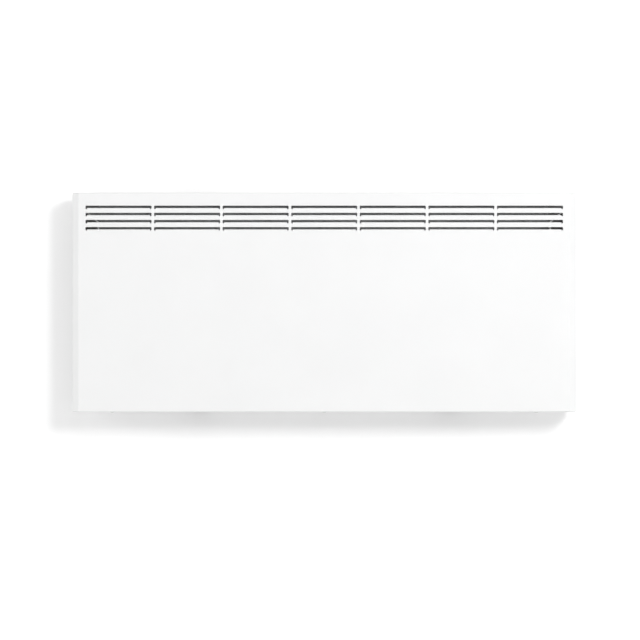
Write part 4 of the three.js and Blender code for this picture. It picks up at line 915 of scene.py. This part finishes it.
def wall():
    """A pale wall that is clear from behind, so that the back of the heater can be seen."""
    material, nodes, links = backdrop_material("wall", (0.97, 0.97, 0.97))
    shader = nodes["Principled BSDF"]
    shader.inputs["Emission Color"].default_value = (1, 1, 1, 1)
    shader.inputs["Emission Strength"].default_value = 0.09
    clear_from_behind(nodes, links, shader.outputs["BSDF"])
    piece = backdrop("wall", material, ((-3, WALL_Y, FLOOR_Z), (3, WALL_Y, FLOOR_Z), (3, WALL_Y, 3), (-3, WALL_Y, 3)))
    piece.visible_shadow = False
    piece.visible_diffuse = False
    piece.visible_glossy = False


def floor():
    """A pale floor of one tone to the camera, clear from below."""
    material, nodes, links = backdrop_material("floor", (0.86, 0.86, 0.86))
    paths = nodes.new("ShaderNodeLightPath")
    pale = nodes.new("ShaderNodeEmission")
    pale.inputs["Color"].default_value = (0.93, 0.93, 0.93, 1)
    blend = nodes.new("ShaderNodeMixShader")
    links.new(paths.outputs["Is Camera Ray"], blend.inputs["Fac"])
    links.new(nodes["Principled BSDF"].outputs["BSDF"], blend.inputs[1])
    links.new(pale.outputs["Emission"], blend.inputs[2])
    clear_from_behind(nodes, links, blend.outputs["Shader"])
    piece = backdrop("floor", material, ((-6, -6, FLOOR_Z), (6, -6, FLOOR_Z), (6, 6, FLOOR_Z), (-6, 6, FLOOR_Z)))


def lamp(name, place, size, watts):
    """A square lamp aimed at the middle of the heater."""
    light = bpy.data.lights.new(name, "AREA")
    light.shape = "SQUARE"
    light.size = size
    light.energy = watts
    piece = bpy.data.objects.new(name, light)
    piece.location = place
    piece.rotation_euler = (-Vector(place)).to_track_quat("-Z", "Y").to_euler()
    bpy.context.scene.collection.objects.link(piece)


def surroundings():
    """Soft light from all round, which the camera itself sees as plain white."""
    world = bpy.data.worlds.new("surroundings")
    world.use_nodes = True
    nodes, links = world.node_tree.nodes, world.node_tree.links
    background = nodes["Background"]
    background.inputs["Color"].default_value = (1, 1, 1, 1)
    background.inputs["Strength"].default_value = 0.37
    paths = nodes.new("ShaderNodeLightPath")
    seen = nodes.new("ShaderNodeBackground")
    seen.inputs["Color"].default_value = (1, 1, 1, 1)
    blend = nodes.new("ShaderNodeMixShader")
    links.new(paths.outputs["Is Camera Ray"], blend.inputs["Fac"])
    links.new(background.outputs["Background"], blend.inputs[1])
    links.new(seen.outputs["Background"], blend.inputs[2])
    links.new(blend.outputs["Shader"], nodes["World Output"].inputs["Surface"])
    bpy.context.scene.world = world


def camera():
    lens = bpy.data.cameras.new("camera")
    lens.sensor_width = SENSOR
    lens.lens = SENSOR * CAMERA_DISTANCE / FIELD
    lens.clip_end = 100
    piece = bpy.data.objects.new("camera", lens)
    piece.location = (VIEW_X, FRONT - CAMERA_DISTANCE, VIEW_Z)
    piece.rotation_euler = (math.pi / 2, 0, 0)
    bpy.context.scene.collection.objects.link(piece)
    bpy.context.scene.camera = piece


def studio():
    wall()
    floor()
    for spec in LAMPS:
        lamp(*spec)
    surroundings()
    camera()
    bpy.context.scene.view_settings.view_transform = "Standard"


all_pieces()
studio()
